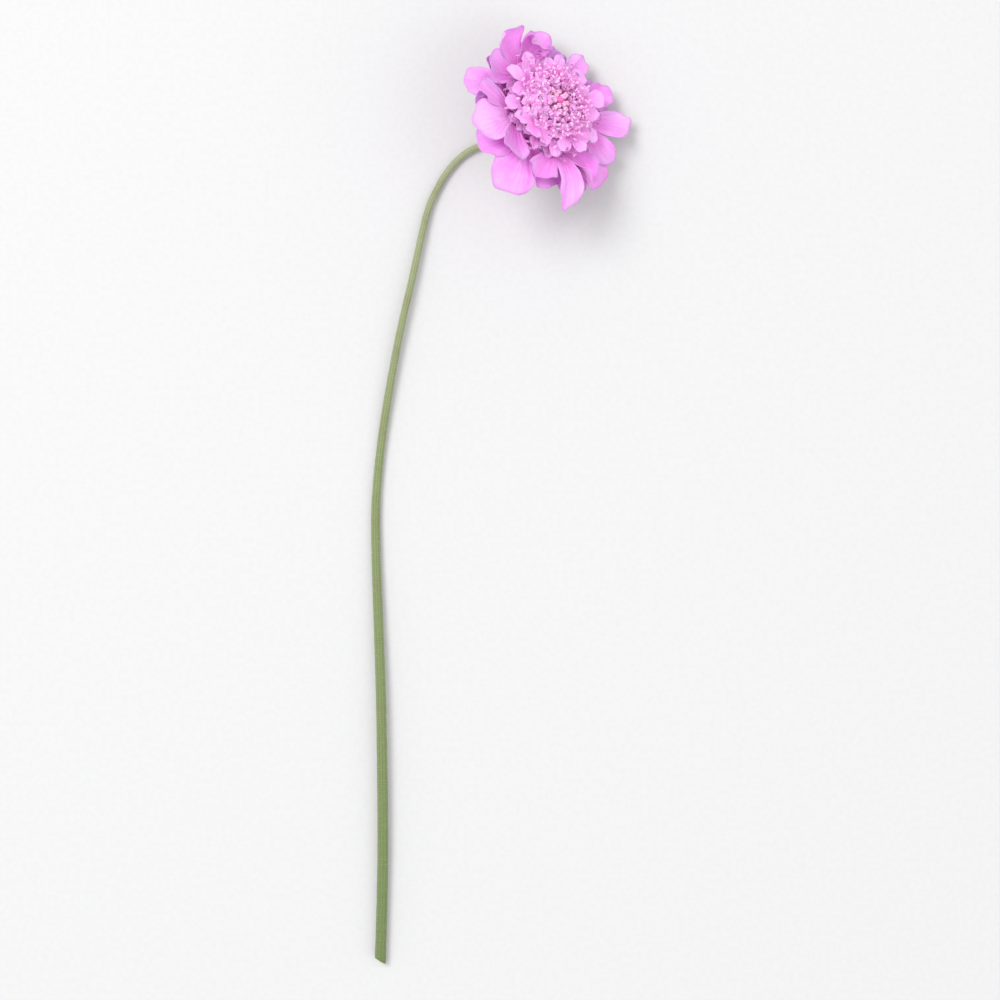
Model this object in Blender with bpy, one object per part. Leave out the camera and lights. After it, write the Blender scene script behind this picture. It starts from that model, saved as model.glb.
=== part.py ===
"""A cut scabiosa flower lying on a table.

A bare, curved stalk carries one nodding head: a saucer of narrow green bracts, a whorl of large
ruffled marginal florets, a pincushion of smaller florets with their stamens, and the unopened buds
at its crown. The head leans over on its lowest petals, and the stalk lies along the table behind it.

Lengths are in millimetres and angles in degrees until a point is placed, and MM turns them to metres.
The head is modelled upright round its own axis, and its parent empty then leans it and sets it down.
"""

import math
import random
from dataclasses import dataclass

import bmesh
import bpy
from mathutils import Matrix, Vector

MM = 0.001
UP = Vector((0.0, 0.0, 1.0))
SEED = 11

# Where the head joins the stalk, and how the head leans
HEAD_BASE = Vector((6.7, 101.3, 8.5))
HEAD_HEADING = 27.0
HEAD_ELEVATION = 50.0
TABLE_CLEARANCE = 0.02

# The stalk as seen from above, from under the head back to the cut end, measured from HEAD_BASE
STALK_PLAN = (
    (0.0, 0.0),
    (-5.6, -2.2),
    (-10.9, -4.4),
    (-16.4, -7.3),
    (-20.6, -11.6),
    (-23.9, -17.0),
    (-26.7, -24.0),
    (-30.4, -40.6),
    (-34.4, -58.5),
    (-38.3, -81.0),
    (-40.3, -100.0),
    (-40.4, -115.0),
    (-39.7, -134.8),
    (-38.9, -159.5),
    (-38.5, -196.4),
    (-39.2, -226.3),
)
STALK_TOP_RADIUS = 1.35
STALK_NECK_RADIUS = 0.92
STALK_CUT_RADIUS = 1.5
STALK_SWELLING = 5.0
STALK_TAPER_START = 10.0
STALK_RINGS = 46
STALK_SIDES = 8
ROUTE_STEPS = 20
STALK_CUT_SLANT = 0.55
JOINT_GAP = 0.3

# Low bows of the stalk between the places where it touches the table: (start, end, height)
STALK_BOWS = ((17.0, 112.0, 1.3), (112.0, 247.0, 1.0))

# The involucre: a green saucer under the head, as (radius, height), and its ring of bracts
SAUCER_PROFILE = ((1.35, 0.0), (2.1, 0.4), (3.6, 1.1), (4.6, 1.9), (4.6, 2.3))
BRACT_COUNT = 12
BRACT_ROOT = (3.0, 1.4)
BRACT_REACH = 8.8
BRACT_WIDTH = 2.2
BRACT_RISE = 1.6
BRACT_KEEL = 0.35
BRACT_OUTLINE = ((0.0, 0.75), (0.3, 1.0), (0.65, 0.72), (1.0, 0.14))

# The turned cores that florets and buds grow from, as (radius, height) from the bottom up
OUTER_CORE = ((4.2, 2.6), (5.2, 3.6), (6.1, 6.0), (5.6, 6.2))
INNER_CORE = ((3.8, 6.5), (5.6, 8.0), (7.3, 10.2), (7.4, 11.2), (6.2, 12.4), (4.4, 13.0))
CROWN_CORE = ((3.5, 13.3), (3.5, 13.9), (2.7, 14.8), (1.2, 15.2))
CORE_SIDES = 18
CROWN_SIDES = 10

# A floret's limb is one blade with lobes: (first angle, last angle, share of the reach). A middle
# floret shows its three large ones, because its two back lobes lie under the pincushion
LARGE_LOBES = ((-80.0, -27.0, 0.88), (-27.0, 27.0, 1.0), (27.0, 80.0, 0.88))
ALL_LOBES = ((-122.0, -80.0, 0.38), *LARGE_LOBES, (80.0, 122.0, 0.38))
SMALL_LOBE = 0.5
LOBE_NOTCH = 0.45
LOBE_ROUNDNESS = 2.3
LIMB_ROWS = (0.0, 0.4, 0.76, 1.0)
BLADE_THICKNESS = 0.6
THROAT_DEPTH = 0.8
LOBE_CUP = 0.09
LOBE_CUP_BALANCE = 0.45
TIP_DROOP = 0.11
RUFFLE_WAVE = 7.0
RUFFLE_SHIFT = 2.1
BACK_LOBE_RISE = 10.0
BACK_LOBE_ANGLES = (70.0, 105.0)
TUBE_ROOT_RADIUS = 0.75
TUBE_SIDES = 6

# The pincushion's funnel florets in rings: (count, radius, height, lean, limb radius, first turn)
FUNNEL_RINGS = ((12, 7.6, 14.0, 36.0, 2.2, 0.0), (8, 5.4, 14.9, 18.0, 1.9, 10.0))
FUNNEL_LENGTH = 2.6
FUNNEL_ROOT_RADIUS = 0.6
FUNNEL_MOUTH_RADIUS = 0.9
STAR_CORNERS = 10
STAR_WAIST = 0.62
STAMENS_PER_FLORET = 2
STAMEN_LENGTH = 3.2
STAMEN_SPREAD = 0.45
FILAMENT_RADIUS = 0.26
ANTHER_RADIUS = 0.45
ANTHER_LENGTH = 1.8

# The closed buds of the crown, in rings: (count, radius, height, bud radius)
BUD_RINGS = ((9, 2.95, 14.2, 0.85), (6, 1.65, 14.95, 0.8), (1, 0.0, 15.4, 0.95))
BUD_STRETCH = 2.3

PETAL_PINK = (0.83, 0.27, 0.78, 1.0)
INNER_PINK = (0.80, 0.36, 0.70, 1.0)
BUD_CREAM = (0.80, 0.52, 0.62, 1.0)
BRACT_GREEN = (0.24, 0.31, 0.13, 1.0)
STALK_GREEN = (0.36, 0.44, 0.20, 1.0)


@dataclass(frozen=True)
class Floret:
    """One five-lobed floret: its azimuth and how high its throat stands over its ring's, its limb's
    slope and size, and how its lobes wave."""

    turn: float
    step_up: float
    lift: float
    reach: float
    yaw: float
    ruffle: float


@dataclass(frozen=True)
class Whorl:
    """What the florets of one ring share: (radius, height) of root and throat, and where the points
    across a large lobe lie, from -1 to 1."""

    root: tuple
    throat: tuple
    throat_radius: float
    lobes: tuple
    lobe_steps: tuple


# The marginal florets, going round from the side of the head that rests on the table
MARGINAL = Whorl(
    root=(4.0, 4.0),
    throat=(10.8, 8.2),
    throat_radius=1.1,
    lobes=ALL_LOBES,
    lobe_steps=(-0.78, -0.3, 0.3, 0.78),
)
MARGINAL_FLORETS = (
    Floret(turn=-7.0, step_up=-0.6, lift=7.0, reach=13.6, yaw=4.0, ruffle=0.5),
    Floret(turn=28.0, step_up=0.6, lift=19.0, reach=12.6, yaw=-5.0, ruffle=0.6),
    Floret(turn=63.0, step_up=-0.6, lift=8.0, reach=12.6, yaw=-6.0, ruffle=0.7),
    Floret(turn=99.0, step_up=0.6, lift=17.0, reach=14.8, yaw=2.0, ruffle=0.9),
    Floret(turn=136.0, step_up=-0.6, lift=9.0, reach=15.6, yaw=5.0, ruffle=0.5),
    Floret(turn=172.0, step_up=0.6, lift=19.0, reach=16.0, yaw=4.0, ruffle=0.5),
    Floret(turn=212.0, step_up=-0.6, lift=7.0, reach=16.8, yaw=0.0, ruffle=0.6),
    Floret(turn=254.0, step_up=0.6, lift=18.0, reach=17.2, yaw=8.0, ruffle=0.8),
    Floret(turn=291.0, step_up=-0.6, lift=7.0, reach=16.8, yaw=-4.0, ruffle=0.6),
    Floret(turn=327.0, step_up=0.6, lift=18.0, reach=17.6, yaw=2.0, ruffle=0.7),
)

# The middle florets, a smaller and evener ring above them
MIDDLE = Whorl(
    root=(5.6, 10.4),
    throat=(8.8, 12.4),
    throat_radius=0.8,
    lobes=LARGE_LOBES,
    lobe_steps=(-0.72, 0.0, 0.72),
)
MIDDLE_COUNT = 10
MIDDLE_REACH = 7.2
MIDDLE_LIFTS = (8.0, 20.0)
MIDDLE_STEPS_UP = (-0.4, 0.4)
MIDDLE_RUFFLE = 0.3


def clear_scene():
    """Removes whatever the file opened with."""
    for thing in list(bpy.data.objects):
        bpy.data.objects.remove(thing, do_unlink=True)


def material(name, colour, roughness):
    """A plain matt plant surface."""
    made = bpy.data.materials.new(name)
    made.use_nodes = True
    shader = made.node_tree.nodes["Principled BSDF"]
    shader.inputs["Base Color"].default_value = colour
    shader.inputs["Roughness"].default_value = roughness
    shader.inputs["Metallic"].default_value = 0.0
    made.diffuse_color = colour
    return made


def object_of(name, work):
    """Turns a bmesh into an object of that name, with its faces pointing out."""
    bmesh.ops.recalc_face_normals(work, faces=work.faces)
    mesh = bpy.data.meshes.new(name)
    work.to_mesh(mesh)
    work.free()
    made = bpy.data.objects.new(name, mesh)
    bpy.context.scene.collection.objects.link(made)
    return made


def smooth_step(low, high, value):
    """A smooth step from 0 at low to 1 at high."""
    share = min(1.0, max(0.0, (value - low) / (high - low)))
    return share * share * (3.0 - 2.0 * share)


def around(radius, turn, height):
    """A point of the head at that radius, azimuth and height."""
    angle = math.radians(turn)
    return Vector((radius * math.cos(angle), radius * math.sin(angle), height))


def head_axis():
    """The way the head faces."""
    heading = math.radians(HEAD_HEADING)
    rise = math.radians(HEAD_ELEVATION)
    return Vector((math.cos(heading) * math.cos(rise), math.sin(heading) * math.cos(rise), math.sin(rise)))


def head_matrix():
    """The head's own frame: Z along its axis and X towards its lowest rim, from HEAD_BASE."""
    axis = head_axis()
    side = UP.cross(axis).normalized()
    downhill = side.cross(axis)
    return Matrix.Translation(HEAD_BASE * MM) @ Matrix((downhill, side, axis)).transposed().to_4x4()


def rested(point):
    """A head point, lifted where the leaning head would press it into the table."""
    to_world = head_matrix()
    world = to_world @ (point * MM)
    world.z = max(world.z, (TABLE_CLEARANCE + BLADE_THICKNESS / 2.0) * MM)
    return (to_world.inverted() @ world) / MM


def blade(name, middle):
    """A thin closed solid round a grid of middle points, split into triangles alike on both faces."""
    work = bmesh.new()
    last_row = len(middle) - 1
    last_column = len(middle[0]) - 1
    upper, lower = [], []
    for row, points in enumerate(middle):
        upper.append([])
        lower.append([])
        for column, point in enumerate(points):
            along = middle[min(row + 1, last_row)][column] - middle[max(row - 1, 0)][column]
            across = points[min(column + 1, last_column)] - points[max(column - 1, 0)]
            half = along.cross(across).normalized() * (BLADE_THICKNESS / 2.0)
            upper[row].append(work.verts.new((point + half) * MM))
            lower[row].append(work.verts.new((point - half) * MM))
    for row in range(last_row):
        for column in range(last_column):
            for grid in (upper, lower):
                a, b = grid[row][column], grid[row][column + 1]
                c, d = grid[row + 1][column + 1], grid[row + 1][column]
                work.faces.new((a, b, c))
                work.faces.new((a, c, d))
    border = [(0, column) for column in range(last_column + 1)]
    border += [(row, last_column) for row in range(1, last_row + 1)]
    border += [(last_row, column) for column in range(last_column - 1, -1, -1)]
    border += [(row, 0) for row in range(last_row - 1, 0, -1)]
    for (row, column), (next_row, next_column) in zip(border, border[1:] + border[:1]):
        work.faces.new((upper[row][column], upper[next_row][next_column], lower[next_row][next_column]))
        work.faces.new((upper[row][column], lower[next_row][next_column], lower[row][column]))
    return object_of(name, work)


def rod(name, start, end, start_radius, end_radius, sides):
    """A closed straight taper between two points of the head."""
    work = bmesh.new()
    length = (end - start).length * MM
    bmesh.ops.create_cone(
        work, cap_ends=True, segments=sides, radius1=start_radius * MM, radius2=end_radius * MM, depth=length
    )
    turn = UP.rotation_difference(end - start).to_matrix().to_4x4()
    bmesh.ops.transform(work, matrix=Matrix.Translation((start + end) / 2.0 * MM) @ turn, verts=work.verts)
    return object_of(name, work)


def bead(name, centre, radius, along, length, sides):
    """A closed oval bead at a point of the head, longest along the direction given."""
    work = bmesh.new()
    bmesh.ops.create_uvsphere(work, u_segments=sides, v_segments=sides // 2, radius=1.0)
    stretch = Matrix.Diagonal((radius * MM, radius * MM, length / 2.0 * MM, 1.0))
    turn = UP.rotation_difference(along).to_matrix().to_4x4()
    bmesh.ops.transform(work, matrix=Matrix.Translation(centre * MM) @ turn @ stretch, verts=work.verts)
    return object_of(name, work)


def skin_rings(work, rings):
    """Joins rings of corners one after the other with faces, and closes both ends."""
    for near, far in zip(rings, rings[1:]):
        for step in range(len(near)):
            after = (step + 1) % len(near)
            work.faces.new((near[step], near[after], far[after], far[step]))
    work.faces.new(list(reversed(rings[0])))
    work.faces.new(rings[-1])


def turned(name, profile, sides):
    """A closed solid of revolution round the head's axis, from (radius, height) points, bottom up."""
    work = bmesh.new()
    rings = []
    for radius, height in profile:
        turns = [360.0 * step / sides for step in range(sides)]
        rings.append([work.verts.new(around(radius, turn, height) * MM) for turn in turns])
    skin_rings(work, rings)
    return object_of(name, work)


def keep_largest_body(mesh):
    """Drops all but the largest connected skin, which fills sealed hollows and drops loose scraps."""
    work = bmesh.new()
    work.from_mesh(mesh)
    work.faces.ensure_lookup_table()
    waiting = set(range(len(work.faces)))
    skins = []
    while waiting:
        reached = [waiting.pop()]
        for index in reached:
            for edge in work.faces[index].edges:
                found = {face.index for face in edge.link_faces} & waiting
                waiting -= found
                reached.extend(sorted(found))
        skins.append([work.faces[index] for index in reached])
    skins.sort(key=len)
    for skin in skins[:-1]:
        bmesh.ops.delete(work, geom=skin, context="FACES")
    work.to_mesh(mesh)
    work.free()


def fuse(body, pieces):
    """Joins the pieces to the body with one Boolean union, and removes them."""
    collection = bpy.data.collections.new(body.name + "_pieces")
    bpy.context.scene.collection.children.link(collection)
    for piece in pieces:
        bpy.context.scene.collection.objects.unlink(piece)
        collection.objects.link(piece)
    union = body.modifiers.new("fuse", "BOOLEAN")
    union.operation = "UNION"
    union.operand_type = "COLLECTION"
    union.collection = collection
    union.solver = "MANIFOLD"
    graph = bpy.context.evaluated_depsgraph_get()
    joined = bpy.data.meshes.new_from_object(body.evaluated_get(graph), depsgraph=graph)
    body.modifiers.clear()
    body.data = joined
    keep_largest_body(joined)
    for piece in pieces:
        bpy.data.objects.remove(piece, do_unlink=True)
    bpy.data.collections.remove(collection)


def lobe_columns(whorl):
    """The columns of a floret's blade: (angle, lobe number, place across the lobe, share of the reach)."""
    columns = []
    for number, (first, last, share) in enumerate(whorl.lobes):
        notch = LOBE_NOTCH * min(share, whorl.lobes[max(number - 1, 0)][2])
        columns.append((first, number, -1.0, notch))
        steps = (0.0,) if share < SMALL_LOBE else whorl.lobe_steps
        for step in steps:
            fullness = LOBE_NOTCH + (1.0 - LOBE_NOTCH) * math.sqrt(1.0 - abs(step) ** LOBE_ROUNDNESS)
            columns.append(((first + last + (last - first) * step) / 2.0, number, step, share * fullness))
    columns.append((last, number, 1.0, LOBE_NOTCH * share))
    return columns


def throat_of(whorl, floret):
    """Where a floret's tube opens out into its limb."""
    return around(whorl.throat[0], floret.turn, whorl.throat[1] + floret.step_up)


def limb_grid(whorl, floret, lengths, phase):
    """The middle surface of a floret's spread limb, as rows of points from the throat to the rim."""
    throat = throat_of(whorl, floret)
    outward = around(1.0, floret.turn, 0.0)
    across = around(1.0, floret.turn + 90.0, 0.0)
    rise = math.radians(floret.lift)
    along = outward * math.cos(rise) + UP * math.sin(rise)
    normal = UP * math.cos(rise) - outward * math.sin(rise)
    back_rise = math.tan(math.radians(BACK_LOBE_RISE))
    rows = []
    for row_share in LIMB_ROWS:
        row = []
        for angle, number, step, share in lobe_columns(whorl):
            length = floret.reach * share * lengths[number]
            distance = whorl.throat_radius + row_share * (length - whorl.throat_radius)
            spread = distance / floret.reach
            bearing = math.radians(angle + floret.yaw)
            height = -THROAT_DEPTH * math.exp(-((distance / (2.0 * whorl.throat_radius)) ** 2))
            height += LOBE_CUP * distance * (abs(step) ** 1.5 - LOBE_CUP_BALANCE)
            wave = math.sin(RUFFLE_WAVE * step + RUFFLE_SHIFT * number + phase)
            height += floret.ruffle * row_share**2 * spread * wave
            height -= TIP_DROOP * distance * spread**1.5
            height += distance * back_rise * smooth_step(*BACK_LOBE_ANGLES, abs(angle))
            point = throat + along * (distance * math.cos(bearing))
            point += across * (distance * math.sin(bearing)) + normal * height
            row.append(rested(point))
        rows.append(row)
    return rows


def large_floret(whorl, floret, rng):
    """The limb and the tube of one five-lobed floret."""
    lengths = [rng.uniform(0.88, 1.06) for _ in whorl.lobes]
    limb = blade("limb", limb_grid(whorl, floret, lengths, rng.uniform(0.0, 2.0 * math.pi)))
    root = around(whorl.root[0], floret.turn, whorl.root[1])
    throat = throat_of(whorl, floret)
    end = throat + (throat - root).normalized() * (whorl.throat_radius / 3.0)
    return [limb, rod("tube", root, end, TUBE_ROOT_RADIUS, whorl.throat_radius * 1.4, TUBE_SIDES)]


def middle_florets(rng):
    """The evener florets of the middle ring, every other one raised."""
    florets = []
    for index in range(MIDDLE_COUNT):
        turn = 360.0 * (index + 0.5) / MIDDLE_COUNT + rng.uniform(-4.0, 4.0)
        lift = MIDDLE_LIFTS[index % 2] + rng.uniform(-2.0, 2.0)
        reach = MIDDLE_REACH * rng.uniform(0.9, 1.1)
        yaw = rng.uniform(-8.0, 8.0)
        florets.append(Floret(turn, MIDDLE_STEPS_UP[index % 2], lift, reach, yaw, MIDDLE_RUFFLE))
    return florets


def star_limb(mouth, axis, outward, limb_radius):
    """A shallow star of five lobes, thick at its middle, for a funnel floret."""
    work = bmesh.new()
    across = axis.cross(outward).normalized()
    forward = across.cross(axis)
    low = work.verts.new((mouth - axis * (BLADE_THICKNESS * 0.75)) * MM)
    high = work.verts.new((mouth + axis * (BLADE_THICKNESS * 0.25)) * MM)
    below, above = [], []
    for corner in range(STAR_CORNERS):
        angle = 2.0 * math.pi * corner / STAR_CORNERS
        reach = limb_radius * (STAR_WAIST if corner % 2 else 1.0)
        edge = mouth + (forward * math.cos(angle) + across * math.sin(angle)) * reach
        edge += axis * (BLADE_THICKNESS * (0.9 if corner % 2 else 0.6))
        below.append(work.verts.new((edge - axis * (BLADE_THICKNESS / 2.0)) * MM))
        above.append(work.verts.new((edge + axis * (BLADE_THICKNESS / 2.0)) * MM))
    for corner in range(STAR_CORNERS):
        after = (corner + 1) % STAR_CORNERS
        work.faces.new((low, below[after], below[corner]))
        work.faces.new((high, above[corner], above[after]))
        work.faces.new((below[corner], below[after], above[after]))
        work.faces.new((below[corner], above[after], above[corner]))
    return object_of("limb", work)


def stamens(mouth, axis, rng):
    """The pins of one floret: filaments standing out of its mouth with an anther across each end."""
    pieces = []
    for number in range(STAMENS_PER_FLORET):
        side = Vector((rng.uniform(-1.0, 1.0), rng.uniform(-1.0, 1.0), rng.uniform(-1.0, 1.0)))
        side = (side - axis * side.dot(axis)).normalized() * (STAMEN_SPREAD if number else -STAMEN_SPREAD)
        direction = (axis + side).normalized()
        end = mouth + direction * (STAMEN_LENGTH * rng.uniform(0.85, 1.1))
        across = direction.cross(Vector((rng.uniform(-1.0, 1.0), rng.uniform(-1.0, 1.0), 0.3)))
        pieces.append(rod("filament", mouth, end, FILAMENT_RADIUS, FILAMENT_RADIUS, 3))
        pieces.append(bead("anther", end, ANTHER_RADIUS, across, ANTHER_LENGTH, 4))
    return pieces


def funnel_florets(rng):
    """The small florets of the pincushion, each a funnel with a star limb and its stamens."""
    pieces = []
    for count, radius, height, lean, limb_radius, first_turn in FUNNEL_RINGS:
        for index in range(count):
            turn = first_turn + 360.0 * index / count + rng.uniform(-3.0, 3.0)
            tilt = math.radians(lean + rng.uniform(-5.0, 5.0))
            mouth = around(radius, turn, height + rng.uniform(-0.2, 0.2))
            outward = around(1.0, turn, 0.0)
            axis = outward * math.sin(tilt) + UP * math.cos(tilt)
            root = mouth - axis * FUNNEL_LENGTH
            pieces.append(star_limb(mouth, axis, outward, limb_radius))
            pieces.append(rod("funnel", root, mouth, FUNNEL_ROOT_RADIUS, FUNNEL_MOUTH_RADIUS, 5))
            pieces += stamens(mouth, axis, rng)
    return pieces


def bract_grid(turn, reach, rise):
    """The middle surface of one narrow pointed bract, arching out and up from the saucer."""
    rows = []
    outward = around(1.0, turn, 0.0)
    across = around(1.0, turn + 90.0, 0.0)
    for share, width_share in BRACT_OUTLINE:
        middle = outward * (BRACT_ROOT[0] + reach * share) + UP * (BRACT_ROOT[1] + rise * share**1.3)
        half = across * (BRACT_WIDTH / 2.0 * width_share)
        keel = UP * (BRACT_KEEL * width_share)
        rows.append([middle - half + keel, middle, middle + half + keel])
    return rows


def build_involucre():
    """The green saucer and its ring of bracts, in one piece as it grew."""
    rng = random.Random(SEED + 1)
    profile = [(radius, height + JOINT_GAP / 2.0) for radius, height in SAUCER_PROFILE]
    saucer = turned("involucre", profile, CORE_SIDES)
    bracts = []
    for index in range(BRACT_COUNT):
        turn = 360.0 * (index + 0.5) / BRACT_COUNT + rng.uniform(-4.0, 4.0)
        reach = BRACT_REACH * rng.uniform(0.85, 1.1)
        rise = BRACT_RISE * rng.uniform(0.8, 1.2)
        bracts.append(blade("bract", bract_grid(turn, reach, rise)))
    fuse(saucer, bracts)
    return saucer


def build_outer_florets():
    """The large marginal florets on the lower tier of the receptacle."""
    rng = random.Random(SEED)
    core = turned("outer_florets", OUTER_CORE, CORE_SIDES)
    pieces = []
    for floret in MARGINAL_FLORETS:
        pieces += large_floret(MARGINAL, floret, rng)
    fuse(core, pieces)
    return core


def build_inner_florets():
    """The pincushion on the upper tier: the middle ring, the funnel florets and their stamens."""
    rng = random.Random(SEED + 2)
    core = turned("inner_florets", INNER_CORE, CORE_SIDES)
    pieces = []
    for floret in middle_florets(rng):
        pieces += large_floret(MIDDLE, floret, rng)
    fuse(core, pieces + funnel_florets(rng))
    return core


def build_centre_buds():
    """The closed buds crowded on the crown."""
    crown = turned("centre_buds", CROWN_CORE, CROWN_SIDES)
    buds = []
    for count, radius, height, size in BUD_RINGS:
        for index in range(count):
            centre = around(radius, 360.0 * (index + 0.25) / count, height)
            buds.append(bead("bud", centre, size, UP + centre * 0.04, size * BUD_STRETCH, 6))
    fuse(crown, buds)
    return crown


def smooth_route(points, count):
    """Evenly spaced points along a smooth curve through the plan points, with their distances."""
    dense = []
    for index in range(len(points) - 1):
        here, there = points[index], points[index + 1]
        leaving = (there - points[max(index - 1, 0)]) * 0.5
        arriving = (points[min(index + 2, len(points) - 1)] - here) * 0.5
        for step in range(ROUTE_STEPS):
            t = step / ROUTE_STEPS
            blend = smooth_step(0.0, 1.0, t)
            swing = leaving * (t * (1.0 - t) ** 2) - arriving * (t * t * (1.0 - t))
            dense.append(here.lerp(there, blend) + swing)
    dense.append(points[-1])
    travelled = [0.0]
    for here, there in zip(dense, dense[1:]):
        travelled.append(travelled[-1] + (there - here).length)
    route = []
    index = 0
    for step in range(count):
        wanted = travelled[-1] * step / (count - 1)
        while index < len(dense) - 2 and travelled[index + 1] < wanted:
            index += 1
        share = (wanted - travelled[index]) / (travelled[index + 1] - travelled[index])
        route.append((dense[index].lerp(dense[index + 1], share), wanted))
    return route


def stalk_radius(distance, whole):
    """The stalk's radius: swollen under the head, slim at the neck, and stouter to the cut end."""
    swelling = (STALK_TOP_RADIUS - STALK_NECK_RADIUS) * (1.0 - smooth_step(0.0, STALK_SWELLING, distance))
    taper = (STALK_CUT_RADIUS - STALK_NECK_RADIUS) * smooth_step(STALK_TAPER_START, whole, distance)
    return STALK_NECK_RADIUS + swelling + taper


def stalk_height(distance, radius):
    """The height of the stalk's middle: an arc down from the head, then low bows along the table."""
    rise = math.radians(HEAD_ELEVATION)
    bend = (HEAD_BASE.z - STALK_NECK_RADIUS) / (1.0 - math.cos(rise))
    if distance < bend * math.sin(rise):
        slope = math.asin(math.sin(rise) - distance / bend)
        return HEAD_BASE.z - bend * (math.cos(slope) - math.cos(rise))
    lift = 0.0
    for start, end, height in STALK_BOWS:
        if start < distance < end:
            lift = height * math.sin(math.pi * (distance - start) / (end - start)) ** 2
    return radius + lift


def stalk_middles(route, whole):
    """The middle points of the stalk's rings, from the joint under the head to the cut end."""
    middles = []
    for point, distance in route:
        height = stalk_height(distance, stalk_radius(distance, whole))
        middles.append(Vector((HEAD_BASE.x + point.x, HEAD_BASE.y + point.y, height)))
    middles[0] = HEAD_BASE - head_axis() * (JOINT_GAP / 2.0)
    return middles


def build_stalk():
    """The peduncle: one tapered, curved tube with a slanting cut at its lower end."""
    route = smooth_route([Vector((x, y, 0.0)) for x, y in STALK_PLAN], STALK_RINGS)
    whole = route[-1][1]
    middles = stalk_middles(route, whole)
    work = bmesh.new()
    rings = []
    side = head_axis().cross(UP).normalized()
    last = len(middles) - 1
    for index, middle in enumerate(middles):
        along = (middles[min(index + 1, last)] - middles[index - 1]).normalized() if index else -head_axis()
        side = (side - along * side.dot(along)).normalized()
        top = along.cross(side)
        radius = stalk_radius(route[index][1], whole)
        slant = STALK_CUT_SLANT if index == last else 0.0
        ring = []
        for step in range(STALK_SIDES):
            angle = 2.0 * math.pi * (step + 0.5) / STALK_SIDES
            out = side * math.cos(angle) + top * math.sin(angle)
            place = middle + out * radius + along * (slant * radius * math.cos(angle))
            ring.append(work.verts.new(place * MM))
        rings.append(ring)
    skin_rings(work, rings)
    return object_of("stem", work)


def main():
    """Builds the five pieces and hangs the head's four on its leaning frame."""
    clear_scene()
    head = bpy.data.objects.new("head_frame", None)
    bpy.context.scene.collection.objects.link(head)
    head.matrix_world = head_matrix()
    finished = (
        (build_involucre(), material("bract_green", BRACT_GREEN, 0.7), head),
        (build_outer_florets(), material("petal_pink", PETAL_PINK, 0.6), head),
        (build_inner_florets(), material("inner_pink", INNER_PINK, 0.6), head),
        (build_centre_buds(), material("bud_cream", BUD_CREAM, 0.65), head),
        (build_stalk(), material("stalk_green", STALK_GREEN, 0.65), None),
    )
    for piece, finish, carrier in finished:
        piece.data.materials.clear()
        piece.data.materials.append(finish)
        piece.parent = carrier


main()
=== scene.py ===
"""The looks of a cut scabiosa flower that lies on a table.

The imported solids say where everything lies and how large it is. Each of them is replaced here by finer
pieces of the same form: trumpet-shaped florets with veined and ruffled lobes, their stamens, styles and
fruits, the closed buds of the crown, hairy bracts, and a ribbed, downy stalk with its cut end.

Lengths are in millimetres and angles in degrees until a piece is made. The head is shaped upright round
its own axis, and HeadFrame then leans it over and sets it down on the table.
"""

import sys
import logging
import math
import random
from collections.abc import Sequence
from dataclasses import dataclass, field, replace
from enum import Enum

import bpy
import numpy as np
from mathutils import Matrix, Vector


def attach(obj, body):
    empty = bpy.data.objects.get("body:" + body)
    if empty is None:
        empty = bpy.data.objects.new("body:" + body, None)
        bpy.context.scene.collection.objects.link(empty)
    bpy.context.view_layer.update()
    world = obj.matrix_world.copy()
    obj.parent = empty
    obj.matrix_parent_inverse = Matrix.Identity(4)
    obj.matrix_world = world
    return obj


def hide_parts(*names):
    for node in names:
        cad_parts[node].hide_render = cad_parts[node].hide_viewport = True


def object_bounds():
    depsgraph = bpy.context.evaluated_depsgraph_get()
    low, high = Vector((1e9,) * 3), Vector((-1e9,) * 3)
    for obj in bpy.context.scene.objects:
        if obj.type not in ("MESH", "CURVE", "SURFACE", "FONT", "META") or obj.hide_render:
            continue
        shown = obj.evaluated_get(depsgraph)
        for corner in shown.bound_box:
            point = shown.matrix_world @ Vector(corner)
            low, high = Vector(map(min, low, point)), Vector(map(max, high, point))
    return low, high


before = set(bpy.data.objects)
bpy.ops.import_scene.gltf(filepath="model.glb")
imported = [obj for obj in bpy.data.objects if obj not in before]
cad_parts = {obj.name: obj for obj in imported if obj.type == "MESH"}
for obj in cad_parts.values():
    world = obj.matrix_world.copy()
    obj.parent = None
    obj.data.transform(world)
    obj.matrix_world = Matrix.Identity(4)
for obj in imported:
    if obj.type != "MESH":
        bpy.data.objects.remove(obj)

CAD_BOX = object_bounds()
MM = 0.001
SEED = 11
FULL_TURN = 2.0 * math.pi
UP = np.array((0.0, 0.0, 1.0))
ASKEW = np.array((0.31, 0.52, 0.79))
LABELS = ("along", "across", "tone", "back")
BACK = np.array((0.0, 0.0, 0.0, 1.0))
PATCHES = (0.3, 0.7)
LOG = logging.getLogger("scabiosa")

Colour = tuple[float, float, float, float]
Place = tuple[float, float, float]
Pair = tuple[float, float]
Array = np.ndarray
Amount = Array | float
Socket = bpy.types.NodeSocket
Feed = Socket | float | Sequence[float]
Pieces = list[bpy.types.Object]
Material = bpy.types.Material


class Node(Enum):
    """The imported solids."""

    STALK = "stem"
    INVOLUCRE = "involucre"
    OUTER = "outer_florets"
    INNER = "inner_florets"
    BUDS = "centre_buds"


class Slot(Enum):
    """The record's material slots."""

    STALK = "stalk_green"
    BRACT = "bract_green"
    PETAL = "petal_pink"
    INNER = "inner_pink"
    BUD = "bud_cream"


class Skin(Enum):
    """Which way the faces of a grid look, seen with its rows going up and its columns going round."""

    OUT = "out"
    IN = "in"


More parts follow.
